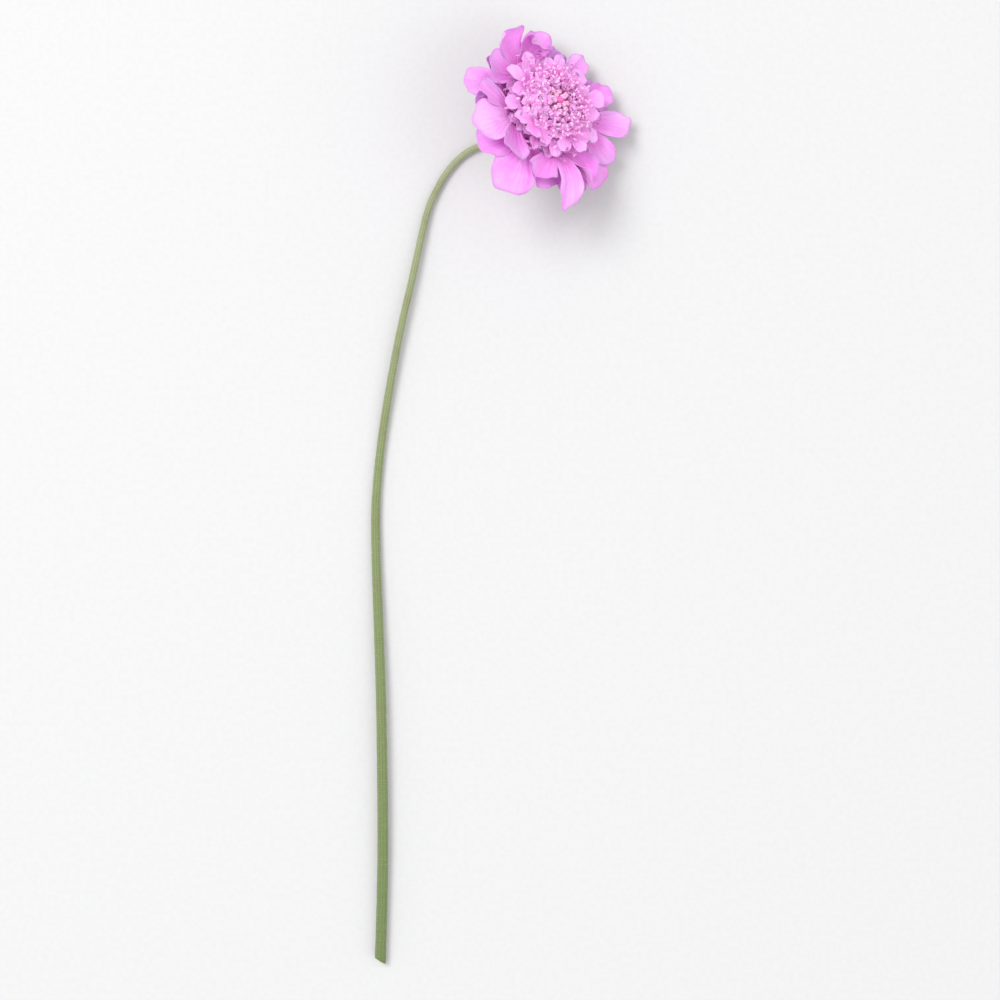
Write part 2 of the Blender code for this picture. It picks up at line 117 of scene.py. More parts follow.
def srgb(red: int, green: int, blue: int) -> Colour:
    """Turns a screen colour into the linear colour that a shader takes.

    Args:
        red: Red from 0 to 255.
        green: Green from 0 to 255.
        blue: Blue from 0 to 255.

    Returns:
        The linear colour with a full alpha.
    """
    parts = [value / 255.0 for value in (red, green, blue)]
    linear = [part / 12.92 if part <= 0.04045 else ((part + 0.055) / 1.055) ** 2.4 for part in parts]
    return (linear[0], linear[1], linear[2], 1.0)


def smooth_step(low: float, high: float, value: Amount) -> Array:
    """Returns a smooth step that rises from 0 at low to 1 at high, read at a value or an array."""
    share = np.clip((value - low) / (high - low), 0.0, 1.0)
    return share * share * (3.0 - 2.0 * share)


def unit(vectors: Array) -> Array:
    """Returns the vectors along the last axis scaled to length one."""
    return vectors / np.maximum(np.linalg.norm(vectors, axis=-1, keepdims=True), 1e-12)


def flowing(stops: Sequence[Sequence[float]], places: Array) -> Array:
    """Reads a smooth curve through stops.

    Args:
        stops: Rows of a place along the curve and the values there, in rising places.
        places: Where to read the curve.

    Returns:
        One row of values for each place, or one number each where a stop has one value.
    """
    table = np.array(stops, float)
    knots, values = table[:, 0], table[:, 1:]
    slopes = np.gradient(values, knots, axis=0)
    index = np.clip(np.searchsorted(knots, places) - 1, 0, len(knots) - 2)
    span = (knots[index + 1] - knots[index])[..., None]
    t = np.clip((places - knots[index])[..., None] / span, 0.0, 1.0)
    near = (2.0 * t**3 - 3.0 * t**2 + 1.0) * values[index] + (t**3 - 2.0 * t**2 + t) * span * slopes[index]
    far = (3.0 * t**2 - 2.0 * t**3) * values[index + 1] + (t**3 - t**2) * span * slopes[index + 1]
    read = near + far
    return read[..., 0] if read.shape[-1] == 1 else read


def around(radius: float, turn: float, height: float) -> Array:
    """Returns the head's point at this distance from its axis, this azimuth and this height."""
    angle = math.radians(turn)
    return np.array((radius * math.cos(angle), radius * math.sin(angle), height))


def rising(turn: float, rise: float) -> Array:
    """Returns the head's unit direction outward at this azimuth and up at this slope."""
    angle = math.radians(rise)
    return around(math.cos(angle), turn, math.sin(angle))


def circle(sides: int, start: float = 0.0) -> Array:
    """Returns evenly spaced angles all the way round, in radians, the first one start steps on."""
    return (np.arange(sides) + start) * FULL_TURN / sides


def steps(count: int) -> Array:
    """Returns this many even steps from 0 to 1, both ends among them."""
    return np.linspace(0.0, 1.0, count)


def spoke(first: Array, second: Array, angle: float) -> Array:
    """Returns the direction at an angle, in radians, from the first of two directions to the second."""
    return first * math.cos(angle) + second * math.sin(angle)


def turned(reach: Array, heights: Array, angles: Array) -> Array:
    """Returns the head's points at these distances from its axis, rows' heights and columns' angles."""
    level = heights * np.ones(len(angles))
    return np.stack((reach * np.cos(angles), reach * np.sin(angles), level), axis=-1)


def drawn(rng: random.Random, low: float, high: float, count: int = 5) -> tuple[float, ...]:
    """Returns random values between two, one for each lobe where no count is given."""
    return tuple(rng.uniform(low, high) for _ in range(count))


def square_to(direction: Array, hint: Array) -> tuple[Array, Array]:
    """Finds two directions square to one.

    Args:
        direction: A unit vector.
        hint: A vector that the first of the two leans towards.

    Returns:
        Two unit vectors that make a right-handed set with the direction as its third.
    """
    first = hint - direction * np.dot(hint, direction)
    if np.linalg.norm(first) < 1e-6:
        first = np.cross(direction, (1.0, 0.0, 0.0)) + np.cross(direction, (0.0, 1.0, 0.0))
    first = unit(first)
    return first, np.cross(direction, first)


@dataclass(frozen=True)
class HeadFrame:
    """Where the head joins the stalk, how it leans, and how it settles on the table."""

    base: Place = (6.7, 101.3, 8.5)
    heading: float = 27.0
    elevation: float = 50.0
    clearance: float = 0.02
    softness: float = 0.3

    def axes(self) -> Array:
        """Finds the head's own directions.

        Returns:
            The downhill, side and facing directions as the rows of an array.
        """
        heading = math.radians(self.heading)
        facing = rising(self.heading, self.elevation)
        side = np.array((-math.sin(heading), math.cos(heading), 0.0))
        return np.array((np.cross(side, facing), side, facing))

    def placed(self, points: Array) -> Array:
        """Returns points of the head's frame in the row frame, in millimetres."""
        return points @ self.axes() + np.array(self.base)

    def settled(self, points: Array, depth: float) -> Array:
        """Lifts row frame points softly where they would lie in the table.

        Args:
            points: Points in the row frame.
            depth: How far the surface reaches below its points.

        Returns:
            The points, none of them lower than the table allows.
        """
        low = self.clearance + depth
        over = points[..., 2] - low
        lifted = points.copy()
        lifted[..., 2] = low + 0.5 * (over + np.sqrt(over**2 + self.softness**2))
        return lifted


def sheet_normals(points: Array, closed: bool) -> Array:
    """Finds the directions square to a grid of points.

    Args:
        points: The points in rows and columns.
        closed: Whether the last column joins the first.

    Returns:
        A unit vector for each point.
    """
    if closed:
        across = np.roll(points, -1, axis=1) - np.roll(points, 1, axis=1)
    else:
        across = np.gradient(points, axis=1)
    return unit(np.cross(np.gradient(points, axis=0), across))


def rims(rows: int, columns: int, closed: bool) -> list[tuple[Array, Array]]:
    """Walks along the rims of a grid.

    Args:
        rows: How many rows it has.
        columns: How many columns.
        closed: Whether the last column joins the first.

    Returns:
        For each rim, the rows and the columns of its points.
    """
    going, coming = np.arange(columns), np.arange(columns)[::-1]
    first, last = np.zeros(columns, int), np.full(columns, rows - 1)
    if closed:
        return [(first, going), (last, coming)]
    up, down = np.arange(1, rows - 1), np.arange(1, rows - 1)[::-1]
    right, left = np.full(len(up), columns - 1), np.zeros(len(down), int)
    return [(np.concatenate((first, up, last, down)), np.concatenate((going, right, coming, left)))]


@dataclass
class Draft:
    """Points, faces and painted values gathered for one piece, in millimetres of the row frame."""

    head: HeadFrame
    points: list[Array] = field(default_factory=list)
    paints: list[Array] = field(default_factory=list)
    faces: dict[int, list[Array]] = field(default_factory=lambda: {3: [], 4: []})
    slots: dict[int, list[Array]] = field(default_factory=lambda: {3: [], 4: []})
    count: int = 0

    def add_points(self, points: Array, paint: Array) -> Array:
        """Adds points.

        Args:
            points: Points in any layout, with their coordinates along the last axis.
            paint: For each point, how far it lies along its part, how far across, its tone and its back.

        Returns:
            The indices of the points in the same layout.
        """
        index = np.arange(points[..., 0].size).reshape(points.shape[:-1]) + self.count
        self.points.append(points.reshape(-1, 3))
        self.paints.append(np.broadcast_to(paint, (*points.shape[:-1], 4)).reshape(-1, 4))
        self.count += index.size
        return index

    def add_faces(self, corners: Array, slot: int = 0) -> None:
        """Adds faces that have three or four corners each.

        Args:
            corners: The corners' indices, a face along the last axis.
            slot: The number of the faces' material.
        """
        size = corners.shape[-1]
        self.faces[size].append(corners.reshape(-1, size))
        self.slots[size].append(np.full(corners.size // size, slot))

    def add_grid(self, index: Array, closed: bool, skin: Skin, slot: int = 0) -> None:
        """Adds the faces between neighbouring rows and columns.

        Args:
            index: The points' indices in rows and columns.
            closed: Whether the last column joins the first.
            skin: Which way the faces look.
            slot: The number of the faces' material.
        """
        grid = np.concatenate((index, index[:, :1]), axis=1) if closed else index
        near, far = grid[:-1], grid[1:]
        corners = (near[:, :-1], near[:, 1:], far[:, 1:], far[:, :-1])
        if skin is Skin.IN:
            corners = corners[::-1]
        self.add_faces(np.stack(corners, axis=-1), slot)

    def add_cap(self, ring: Array, tip: Array, paint: Array, last: bool, slot: int = 0) -> None:
        """Closes a ring of points with a fan of triangles.

        Args:
            ring: The ring's indices.
            tip: The point in the fan's middle.
            paint: The middle point's painted values.
            last: Whether the ring ends its tube, or starts it.
            slot: The number of the faces' material.
        """
        middle = np.broadcast_to(self.add_points(tip[None, :], paint), ring.shape)
        after = np.roll(ring, -1)
        corners = (ring, after, middle) if last else (after, ring, middle)
        self.add_faces(np.stack(corners, axis=-1), slot)

    def add_tube(self, points: Array, paint: Array, slot: int = 0) -> None:
        """Adds a closed solid from rings of points, each end closed with a fan.

        Args:
            points: Rings of points in rows, going round as a right hand's fingers do along the rows.
            paint: The points' painted values.
            slot: The number of the faces' material.
        """
        paint = np.broadcast_to(paint, (*points.shape[:-1], 4))
        index = self.add_points(points, paint)
        self.add_grid(index, closed=True, skin=Skin.OUT, slot=slot)
        self.add_cap(index[0], points[0].mean(axis=0), paint[0].mean(axis=0), last=False, slot=slot)
        self.add_cap(index[-1], points[-1].mean(axis=0), paint[-1].mean(axis=0), last=True, slot=slot)

    def add_shell(self, points: Array, thickness: Array, paint: Array, closed: bool) -> None:
        """Adds a thin closed sheet with a rounded rim round a grid of middle points.

        Args:
            points: The middle points in rows and columns, the rows going out and the columns round.
            thickness: The sheet's thickness at each row.
            paint: The points' painted values, all for a front; what lies behind is marked here.
            closed: Whether the last column joins the first.
        """
        rows, columns = points.shape[:2]
        paint = np.broadcast_to(paint, (rows, columns, 4))
        half = sheet_normals(points, closed) * (thickness[:, None, None] / 2.0)
        front = self.add_points(points + half, paint)
        behind = self.add_points(points - half, paint + BACK)
        self.add_grid(front, closed, Skin.IN)
        self.add_grid(behind, closed, Skin.OUT)
        for edge in rims(rows, columns, closed):
            inner_columns = edge[1] if closed else np.clip(edge[1], 1, columns - 2)
            outward = unit(points[edge] - points[np.clip(edge[0], 1, rows - 2), inner_columns])
            middle = points[edge] + outward * (thickness[edge[0], None] / 2.0)
            rim = self.add_points(middle, paint[edge] + BACK * 0.5)
            for high, low in ((front[edge], rim), (rim, behind[edge])):
                self.add_faces(np.stack((high, np.roll(high, -1), np.roll(low, -1), low), axis=-1))

    def add_hairs(self, roots: Array, tips: Array, radius: float, tones: Array) -> None:
        """Adds straight hairs, each a slim three-sided spike with a closed foot.

        Args:
            roots: Where the hairs grow from.
            tips: Where they end.
            radius: A hair's radius at its root.
            tones: How light each hair is.
        """
        direction = unit(tips - roots)
        side = unit(np.cross(direction, unit(ASKEW)))
        other = np.cross(direction, side)
        foot = [roots + spoke(side, other, angle) * radius for angle in circle(3)]
        paint = paint_of((0.0, 0.0, 0.0, 1.0), 0.0, tones[:, None])
        index = self.add_points(np.stack((*foot, tips), axis=1), paint)
        for a, b in ((0, 1), (1, 2), (2, 0)):
            self.add_faces(index[:, (a, b, 3)])
        self.add_faces(index[:, (0, 2, 1)])

    def made(self, name: str, materials: Sequence[Material], node: Node, slot: Slot) -> bpy.types.Object:
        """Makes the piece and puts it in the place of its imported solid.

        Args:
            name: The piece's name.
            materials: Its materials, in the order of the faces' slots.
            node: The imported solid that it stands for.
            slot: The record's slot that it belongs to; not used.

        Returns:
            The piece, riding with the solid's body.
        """
        mesh = bpy.data.meshes.new(name)
        corners = [face for size in (3, 4) for part in self.faces[size] for face in part.tolist()]
        slots = np.concatenate([part for size in (3, 4) for part in self.slots[size]])
        mesh.from_pydata((np.concatenate(self.points) * MM).tolist(), [], corners)
        mesh.polygons.foreach_set("material_index", slots.astype(np.int32))
        mesh.shade_smooth()
        paint = np.concatenate(self.paints).astype(np.float32)
        for column, label in enumerate(LABELS):
            layer = mesh.attributes.new(label, "FLOAT", "POINT")
            layer.data.foreach_set("value", paint[:, column].copy())
        for material in materials:
            mesh.materials.append(material)
        piece = bpy.data.objects.new(name, mesh)
        bpy.context.scene.collection.objects.link(piece)
        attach(piece, "root")
        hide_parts(node.value)
        return piece


def paint_of(along: Amount = 0.0, across: Amount = 0.0, tone: Amount = 0.0, back: Amount = 0.0) -> Array:
    """Returns the place along and across a part, its tone from -1 to 1 and 1 for its back, as one array."""
    return np.stack(np.broadcast_arrays(along, across, tone, back), axis=-1).astype(float)


def rings_along(line: Array, radii: Array, sides: int, ribs: int = 0, rib_depth: float = 0.0) -> Array:
    """Rings of points square to a line.

    Args:
        line: The line's points.
        radii: The ring's radius at each of them.
        sides: How many points a ring has.
        ribs: How many ribs stand out round it.
        rib_depth: How far they stand out, as a share of the radius.

    Returns:
        The rings' points in rows.
    """
    ways = unit(np.gradient(line, axis=0))
    angles = circle(sides)
    shape = 1.0 + rib_depth * np.cos(ribs * angles)
    first, _ = square_to(ways[0], UP)
    rings = []
    for middle, way, radius in zip(line, ways, radii):
        first, second = square_to(way, first)
        spokes = first[None] * np.cos(angles)[:, None] + second[None] * np.sin(angles)[:, None]
        rings.append(middle + spokes * (radius * shape)[:, None])
    return np.array(rings)


@dataclass(frozen=True)
class Gloss:
    """How a surface shines, how light soaks into it, in millimetres, and how its down catches light."""

    specular: float
    soak: float = 0.0
    soak_colour: tuple[float, float, float] = (1.0, 1.0, 1.0)
    soak_depth: float = 0.0
    sheen: float = 0.0
    sheen_roughness: float = 0.5
    sheen_tint: Colour = (1.0, 1.0, 1.0, 1.0)


class Weave:
    """A material's nodes, added and joined one after the other."""

    def __init__(self, name: str) -> None:
        """Starts a material with one Principled surface.

        Args:
            name: The material's name.
        """
        self.material = bpy.data.materials.new(name)
        self.material.use_nodes = True
        self.tree = self.material.node_tree

    def feed(self, node: bpy.types.Node, inputs: dict[int | str, Feed]) -> None:
        """Links or sets a node's inputs.

        Args:
            node: The node.
            inputs: What each input takes: a socket to link from, or a value.
        """
        for name, value in inputs.items():
            if isinstance(value, Socket):
                self.tree.links.new(value, node.inputs[name])
            else:
                node.inputs[name].default_value = value

    def node(
        self, kind: str, inputs: dict[int | str, Feed], output: int | str = 0, **settings: object
    ) -> Socket:
        """Adds a node.

        Args:
            kind: The node's type.
            inputs: What each input takes.
            output: Which output is wanted.
            **settings: The node's own settings.

        Returns:
            The wanted output.
        """
        made = self.tree.nodes.new(kind)
        for name, value in settings.items():
            setattr(made, name, value)
        self.feed(made, inputs)
        return made.outputs[output]

    def painted(self, *names: str) -> list[Socket]:
        """Returns the sockets that give the mesh's painted values of these names."""
        return [self.node("ShaderNodeAttribute", {}, "Fac", attribute_name=name) for name in names]

    def place(self) -> Socket:
        """Returns the socket with the place in the row frame, in metres."""
        return self.node("ShaderNodeTexCoord", {}, "Object")

    def maths(self, operation: str, first: Feed, second: Feed = 0.0) -> Socket:
        """Returns the result of a named operation on one or two values."""
        return self.node("ShaderNodeMath", {0: first, 1: second}, operation=operation)

    def plus(self, first: Feed, second: Feed) -> Socket:
        """Returns the sum of two values."""
        return self.maths("ADD", first, second)

    def times(self, first: Feed, second: Feed) -> Socket:
        """Returns the product of two values."""
        return self.maths("MULTIPLY", first, second)

    def span(self, value: Socket, low: float, high: float, start: float = 0.0, end: float = 1.0) -> Socket:
        """Returns a value mapped smoothly from low and high to start and end, and held beyond them."""
        inputs = {0: value, 1: low, 2: high, 3: start, 4: end}
        return self.node("ShaderNodeMapRange", inputs, interpolation_type="SMOOTHSTEP")

    def noise(self, vector: Socket, scale: float, detail: float = 3.0, distortion: float = 0.0) -> Socket:
        """Returns a cloudy noise around a half, read at a vector."""
        inputs = {"Vector": vector, "Scale": scale, "Detail": detail, "Distortion": distortion}
        return self.node("ShaderNodeTexNoise", inputs)

    def vector(self, x: Feed, y: Feed, z: Feed) -> Socket:
        """Returns the vector of three values."""
        return self.node("ShaderNodeCombineXYZ", {0: x, 1: y, 2: z})

    def ramp(self, value: Socket, *stops: tuple[float, Colour]) -> Socket:
        """Turns a value from 0 to 1 into a colour.

        Args:
            value: The value's socket.
            *stops: The places from 0 to 1 and the colours there.

        Returns:
            The colour's socket.
        """
        colour = self.node("ShaderNodeValToRGB", {0: value})
        elements = colour.node.color_ramp.elements
        while len(elements) < len(stops):
            elements.new(1.0)
        for element, (position, stop) in zip(elements, stops):
            element.position = position
            element.color = stop
        return colour

    def mix(self, share: Feed, first: Feed, second: Feed) -> Socket:
        """Returns the colour that holds this share of the second colour, and else the first."""
        return self.node("ShaderNodeMix", {0: share, 6: first, 7: second}, 2, data_type="RGBA")

    def bump(self, height: Socket, depth: float, strength: float, over: Socket | None = None) -> Socket:
        """Turns a height into a relief.

        Args:
            height: The height's socket.
            depth: How high one unit of it stands, in millimetres.
            strength: How strongly it shows.
            over: A coarser relief under it, if there is one.

        Returns:
            The normal's socket.
        """
        inputs = {"Height": height, "Distance": depth * MM, "Strength": strength}
        if over is not None:
            inputs["Normal"] = over
        return self.node("ShaderNodeBump", inputs)

    def lines(self, across: Socket, count: float, wander: Socket, width: float) -> Socket:
        """Fine lines side by side.

        Args:
            across: The value that the lines are counted along.
            count: How many lines one unit of it holds.
            wander: How far each line strays.
            width: How wide a line is, from 0 to 1.

        Returns:
            1 on the lines and 0 between them.
        """
        turned_by = self.plus(self.times(across, count * math.pi), wander)
        wave = self.maths("ABSOLUTE", self.maths("SINE", turned_by))
        return self.span(wave, 0.0, width, 1.0, 0.0)

    def finished(
        self, gloss: Gloss, colour: Socket, roughness: Feed, relief: Socket | None = None
    ) -> Material:
        """Joins everything to the surface.

        Args:
            gloss: How the surface takes light.
            colour: Its colour.
            roughness: Its roughness.
            relief: Its relief, if it has one.

        Returns:
            The material.
        """
        inputs = {
            "Base Color": colour,
            "Roughness": roughness,
            "Specular IOR Level": gloss.specular,
            "Subsurface Weight": gloss.soak,
            "Subsurface Radius": gloss.soak_colour,
            "Subsurface Scale": gloss.soak_depth * MM,
            "Sheen Weight": gloss.sheen,
            "Sheen Roughness": gloss.sheen_roughness,
            "Sheen Tint": gloss.sheen_tint,
        }
        if relief is not None:
            inputs["Normal"] = relief
        self.feed(self.tree.nodes["Principled BSDF"], inputs)
        return self.material


@dataclass(frozen=True)
class PetalFinish:
    """Thin petals: deeper at the throat, veined, satin, with a rim colour that is painted shade where
    darker, and paler behind. Their tubes are whitish.
    """

    name: str
    throat: Colour
    deep: Colour
    petal: Colour
    pale: Colour
    rim: Colour
    behind: Colour
    tube_root: Colour
    vein: Colour
    lavender: Colour = srgb(228, 178, 243)
    vein_count: float = 5.5
    vein_share: float = 0.3
    vein_width: float = 0.34
    patch_scale: float = 150.0
    wander_scale: float = 400.0
    cell_scale: float = 5200.0
    throat_end: float = 0.16
    rim_start: float = 0.94
    rim_share: float = 0.65
    even_lightness: float = 0.95
    tone_share: float = 0.34
    pale_share: float = 0.75
    deep_share: float = 0.7
    behind_share: float = 0.6
    satin: Pair = (0.48, 0.62)
    gloss: Gloss = Gloss(0.3, 0.3, (1.0, 0.45, 0.85), 1.2, 0.22, 0.45, (1.0, 0.86, 1.0, 1.0))

    def made(self) -> Material:
        """Weaves the limb's colours, then the tube's, then the relief.

        Returns:
            The petals' material.
        """
        w = Weave(self.name)
        along, across, tone, back = w.painted(*LABELS)
        place = w.place()
        patches = w.noise(place, self.patch_scale, 2.0, 0.4)
        streaks = w.noise(w.vector(w.times(across, 4.0), w.times(along, 1.3), tone), 2.2, 4.0)
        limb = w.ramp(
            along, (0.0, self.throat), (self.throat_end, self.deep), (0.5, self.petal), (1.0, self.petal)
        )
        lightness = w.plus(w.times(tone, self.tone_share), w.plus(patches, streaks))
        limb = w.mix(w.span(lightness, self.even_lightness, 1.55, 0.0, self.pale_share), limb, self.pale)
        limb = w.mix(w.span(lightness, self.even_lightness, 0.45, 0.0, self.deep_share), limb, self.deep)
        cool = w.times(w.span(along, 0.45, 1.0), w.span(patches, 0.35, 0.62, 0.15, 0.7))
        limb = w.mix(cool, limb, self.lavender)
        wander = w.times(w.noise(place, self.wander_scale, 2.0), 1.4)
        veins = w.lines(across, self.vein_count, wander, self.vein_width)
        veins = w.times(veins, w.span(along, 0.5, 0.97, 1.0, 0.25))
        limb = w.mix(w.times(veins, self.vein_share), limb, self.vein)
        # Rim colour: the lavender tint is the petals' own; where it is darker than the petal, as on the
        # outer and middle petals, that is painted shade of curled, edge-on rims.
        limb = w.mix(w.span(along, self.rim_start, 1.0, 0.0, self.rim_share), limb, self.rim)
        # Back colour: the petals' own paler, greyer underside; on the outer petals it is also darkened as
        # painted shade of shaded, rolled lobes.
        limb = w.mix(w.times(back, self.behind_share), limb, self.behind)
        tube = w.ramp(w.plus(along, 1.0), (0.0, self.tube_root), (0.5, self.behind), (1.0, self.deep))
        tube = w.mix(w.times(veins, 0.5), tube, self.vein)
        colour = w.mix(w.span(along, -0.12, 0.02), tube, limb)
        relief = w.bump(streaks, 0.25, 0.35)
        relief = w.bump(veins, 0.05, 0.45, relief)
        relief = w.bump(w.noise(place, self.cell_scale, 1.0), 0.03, 0.3, relief)
        return w.finished(self.gloss, colour, w.span(patches, *PATCHES, *self.satin), relief)


@dataclass(frozen=True)
class StalkFinish:
    """A downy green stalk, paler under the head, with fine ribs and a fresh pale cut."""

    name: str = "stalk_skin"
    near_head: Colour = srgb(186, 190, 160)
    upper: Colour = srgb(156, 163, 126)
    middle: Colour = srgb(128, 142, 92)
    lower: Colour = srgb(104, 124, 70)
    groove: Colour = srgb(92, 108, 62)
    flush: Colour = srgb(136, 118, 96)
    cut_rind: Colour = srgb(150, 176, 92)
    cut_pith: Colour = srgb(214, 222, 182)
    flush_share: float = 0.35
    groove_share: float = 0.55
    fibre_share: float = 0.3
    mottle_scale: float = 260.0
    pith_scale: float = 2600.0
    cell_scale: float = 4200.0
    pith_radius: Pair = (0.62, 0.8)
    satin: Pair = (0.5, 0.68)
    gloss: Gloss = Gloss(0.35, 0.12, (0.8, 1.0, 0.4), 0.6, 0.25, 0.5, (0.9, 1.0, 0.8, 1.0))

    def made(self) -> Material:
        """Weaves the skin's colours, then the cut's, then the relief.

        Returns:
            The stalk's material.
        """
        w = Weave(self.name)
        along, across, back = w.painted("along", "across", "back")
        place = w.place()
        colour = w.ramp(
            along, (0.0, self.near_head), (0.12, self.upper), (0.5, self.middle), (1.0, self.lower)
        )
        mottle = w.noise(place, self.mottle_scale, 4.0)
        colour = w.mix(w.span(mottle, 0.5, 0.75, 0.0, self.flush_share), colour, self.flush)
        colour = w.mix(w.span(across, 0.2, -1.0, 0.0, self.groove_share), colour, self.groove)
        fibres = w.noise(w.vector(w.times(across, 3.0), w.times(along, 60.0), 0.0), 3.0)
        colour = w.mix(w.span(fibres, 0.5, 0.8, 0.0, self.fibre_share), colour, self.near_head)
        cut = w.mix(w.span(across, *self.pith_radius), self.cut_pith, self.cut_rind)
        cut = w.mix(w.span(w.noise(place, self.pith_scale, 2.0), 0.45, 0.7, 0.0, 0.4), cut, self.cut_rind)
        colour = w.mix(back, colour, cut)
        relief = w.bump(fibres, 0.12, 0.5)
        relief = w.bump(w.noise(place, self.cell_scale, 2.0), 0.05, 0.5, relief)
        return w.finished(self.gloss, colour, w.span(mottle, *PATCHES, *self.satin), relief)


@dataclass(frozen=True)
class LeafyFinish:
    """Small green parts, from a pale foot to a browned tip, with a pale rib and a greyer back."""

    name: str
    foot: Colour
    blade: Colour
    tip: Colour
    rib: Colour
    behind: Colour
    brown_share: float = 0.5
    rib_share: float = 0.6
    vein_share: float = 0.25
    behind_share: float = 0.5
    vein_count: float = 4.0
    vein_width: float = 0.4
    mottle_scale: float = 900.0
    cell_scale: float = 3800.0
    satin: Pair = (0.55, 0.72)
    gloss: Gloss = Gloss(0.3, 0.1, (0.7, 1.0, 0.4), 0.5, 0.2)

    def made(self) -> Material:
        """Weaves the blade's colours, its rib and veins, and the relief.

        Returns:
            The leafy material.
        """
        w = Weave(self.name)
        along, across, tone, back = w.painted(*LABELS)
        place = w.place()
        colour = w.ramp(along, (0.0, self.foot), (0.35, self.blade), (0.75, self.blade), (1.0, self.tip))
        mottle = w.noise(place, self.mottle_scale, 3.0)
        shade = w.plus(mottle, w.times(tone, 0.15))
        colour = w.mix(w.span(shade, 0.5, 0.8, 0.0, self.brown_share), colour, self.tip)
        rib = w.span(w.maths("ABSOLUTE", across), 0.04, 0.2, self.rib_share, 0.0)
        colour = w.mix(rib, colour, self.rib)
        veins = w.lines(across, self.vein_count, w.times(mottle, 1.2), self.vein_width)
        colour = w.mix(w.times(veins, self.vein_share), colour, self.foot)
        colour = w.mix(w.times(back, self.behind_share), colour, self.behind)
        relief = w.bump(veins, 0.08, 0.6)
        relief = w.bump(w.noise(place, self.cell_scale, 2.0), 0.04, 0.5, relief)
        return w.finished(self.gloss, colour, w.span(mottle, *PATCHES, *self.satin), relief)


@dataclass(frozen=True)
class BudFinish:
    """Closed buds: creamy pink caps with darker seams, greener at the foot."""

    name: str = "bud_skin"
    foot: Colour = srgb(168, 172, 120)
    belly: Colour = srgb(246, 172, 222)
    cap: Colour = srgb(253, 198, 234)
    seam: Colour = srgb(224, 124, 198)
    rose: Colour = srgb(230, 108, 190)
    seam_share: float = 0.75
    dimple_start: float = 0.93
    dimple_share: float = 0.7
    speckle_share: float = 0.35
    speckle_scale: float = 1500.0
    satin: Pair = (0.45, 0.62)
    gloss: Gloss = Gloss(0.35, 0.25, (1.0, 0.5, 0.6), 0.6, 0.2)

    def made(self) -> Material:
        """Weaves the buds' colours from foot to cap, their seams and their speckles.

        Returns:
            The buds' material.
        """
        w = Weave(self.name)
        along, across, tone = w.painted("along", "across", "tone")
        colour = w.ramp(along, (0.0, self.foot), (0.3, self.belly), (0.62, self.cap), (0.88, self.cap))
        colour = w.mix(w.span(tone, 0.55, 1.0), colour, self.rose)
        colour = w.mix(w.span(along, self.dimple_start, 1.0, 0.0, self.dimple_share), colour, self.rose)
        colour = w.mix(w.span(across, -0.55, -1.0, 0.0, self.seam_share), colour, self.seam)
        speckle = w.noise(w.place(), self.speckle_scale, 3.0)
        colour = w.mix(w.span(speckle, 0.5, 0.8, 0.0, self.speckle_share), colour, self.belly)
        relief = w.bump(speckle, 0.06, 0.5)
        return w.finished(self.gloss, colour, w.span(speckle, *PATCHES, *self.satin), relief)


@dataclass(frozen=True)
class SlimFinish:
    """Slim parts such as filaments, styles, hairs and bristles, from one colour to another."""

    name: str
    foot: Colour
    tip: Colour
    light: Colour
    satin: Pair = (0.4, 0.6)
    gloss: Gloss = Gloss(0.35, 0.15, (1.0, 0.7, 0.8), 0.4)
    light_share: float = 0.8
    grain_scale: float = 2400.0

    def made(self) -> Material:
        """Weaves the colours from foot to tip and the grain.

        Returns:
            The slim parts' material.
        """
        w = Weave(self.name)
        along, tone = w.painted("along", "tone")
        grain = w.noise(w.place(), self.grain_scale, 2.0)
        colour = w.ramp(along, (0.0, self.foot), (1.0, self.tip))
        shade = w.plus(grain, w.times(tone, 0.25))
        colour = w.mix(w.span(shade, 0.45, 0.9, 0.0, self.light_share), colour, self.light)
        relief = w.bump(grain, 0.03, 0.4)
        return w.finished(self.gloss, colour, w.span(grain, *PATCHES, *self.satin), relief)


@dataclass(frozen=True)
class AntherFinish:
    """Anthers, some dusky, some fresh and some opened and dusted with creamy pollen."""

    name: str = "anther_skin"
    dusky: Colour = srgb(160, 108, 164)
    fresh: Colour = srgb(250, 164, 234)
    pollen: Colour = srgb(255, 200, 243)
    groove: Colour = srgb(194, 112, 182)
    opened_share: float = 0.9
    dust_share: float = 0.7
    groove_share: float = 0.6
    grain_scale: float = 9000.0
    dust_scale: float = 2200.0
    satin: Pair = (0.85, 0.6)
    gloss: Gloss = Gloss(0.25, 0.1, (1.0, 0.6, 0.8), 0.3, 0.3)

    def made(self) -> Material:
        """Weaves the colours by how ripe an anther is, and its grains of pollen.

        Returns:
            The anthers' material.
        """
        w = Weave(self.name)
        across, tone = w.painted("across", "tone")
        place = w.place()
        grains = w.node("ShaderNodeTexVoronoi", {"Vector": place, "Scale": self.grain_scale}, "Distance")
        colour = w.mix(w.span(tone, -1.0, 0.0), self.dusky, self.fresh)
        colour = w.mix(w.span(tone, 0.0, 0.8, 0.0, self.opened_share), colour, self.pollen)
        dust = w.plus(w.noise(place, self.dust_scale, 3.0), w.times(tone, 0.25))
        colour = w.mix(w.span(dust, 0.5, 0.72, 0.0, self.dust_share), colour, self.pollen)
        colour = w.mix(w.span(across, 0.55, 1.0, 0.0, self.groove_share), colour, self.groove)
        relief = w.bump(grains, 0.05, 0.6)
        return w.finished(self.gloss, colour, w.span(grains, 0.0, 0.6, *self.satin), relief)


@dataclass(frozen=True)
class Lobe:
    """One lobe of a corolla: its first and last angle round the throat and its share of the reach."""

    first: float
    last: float
    share: float


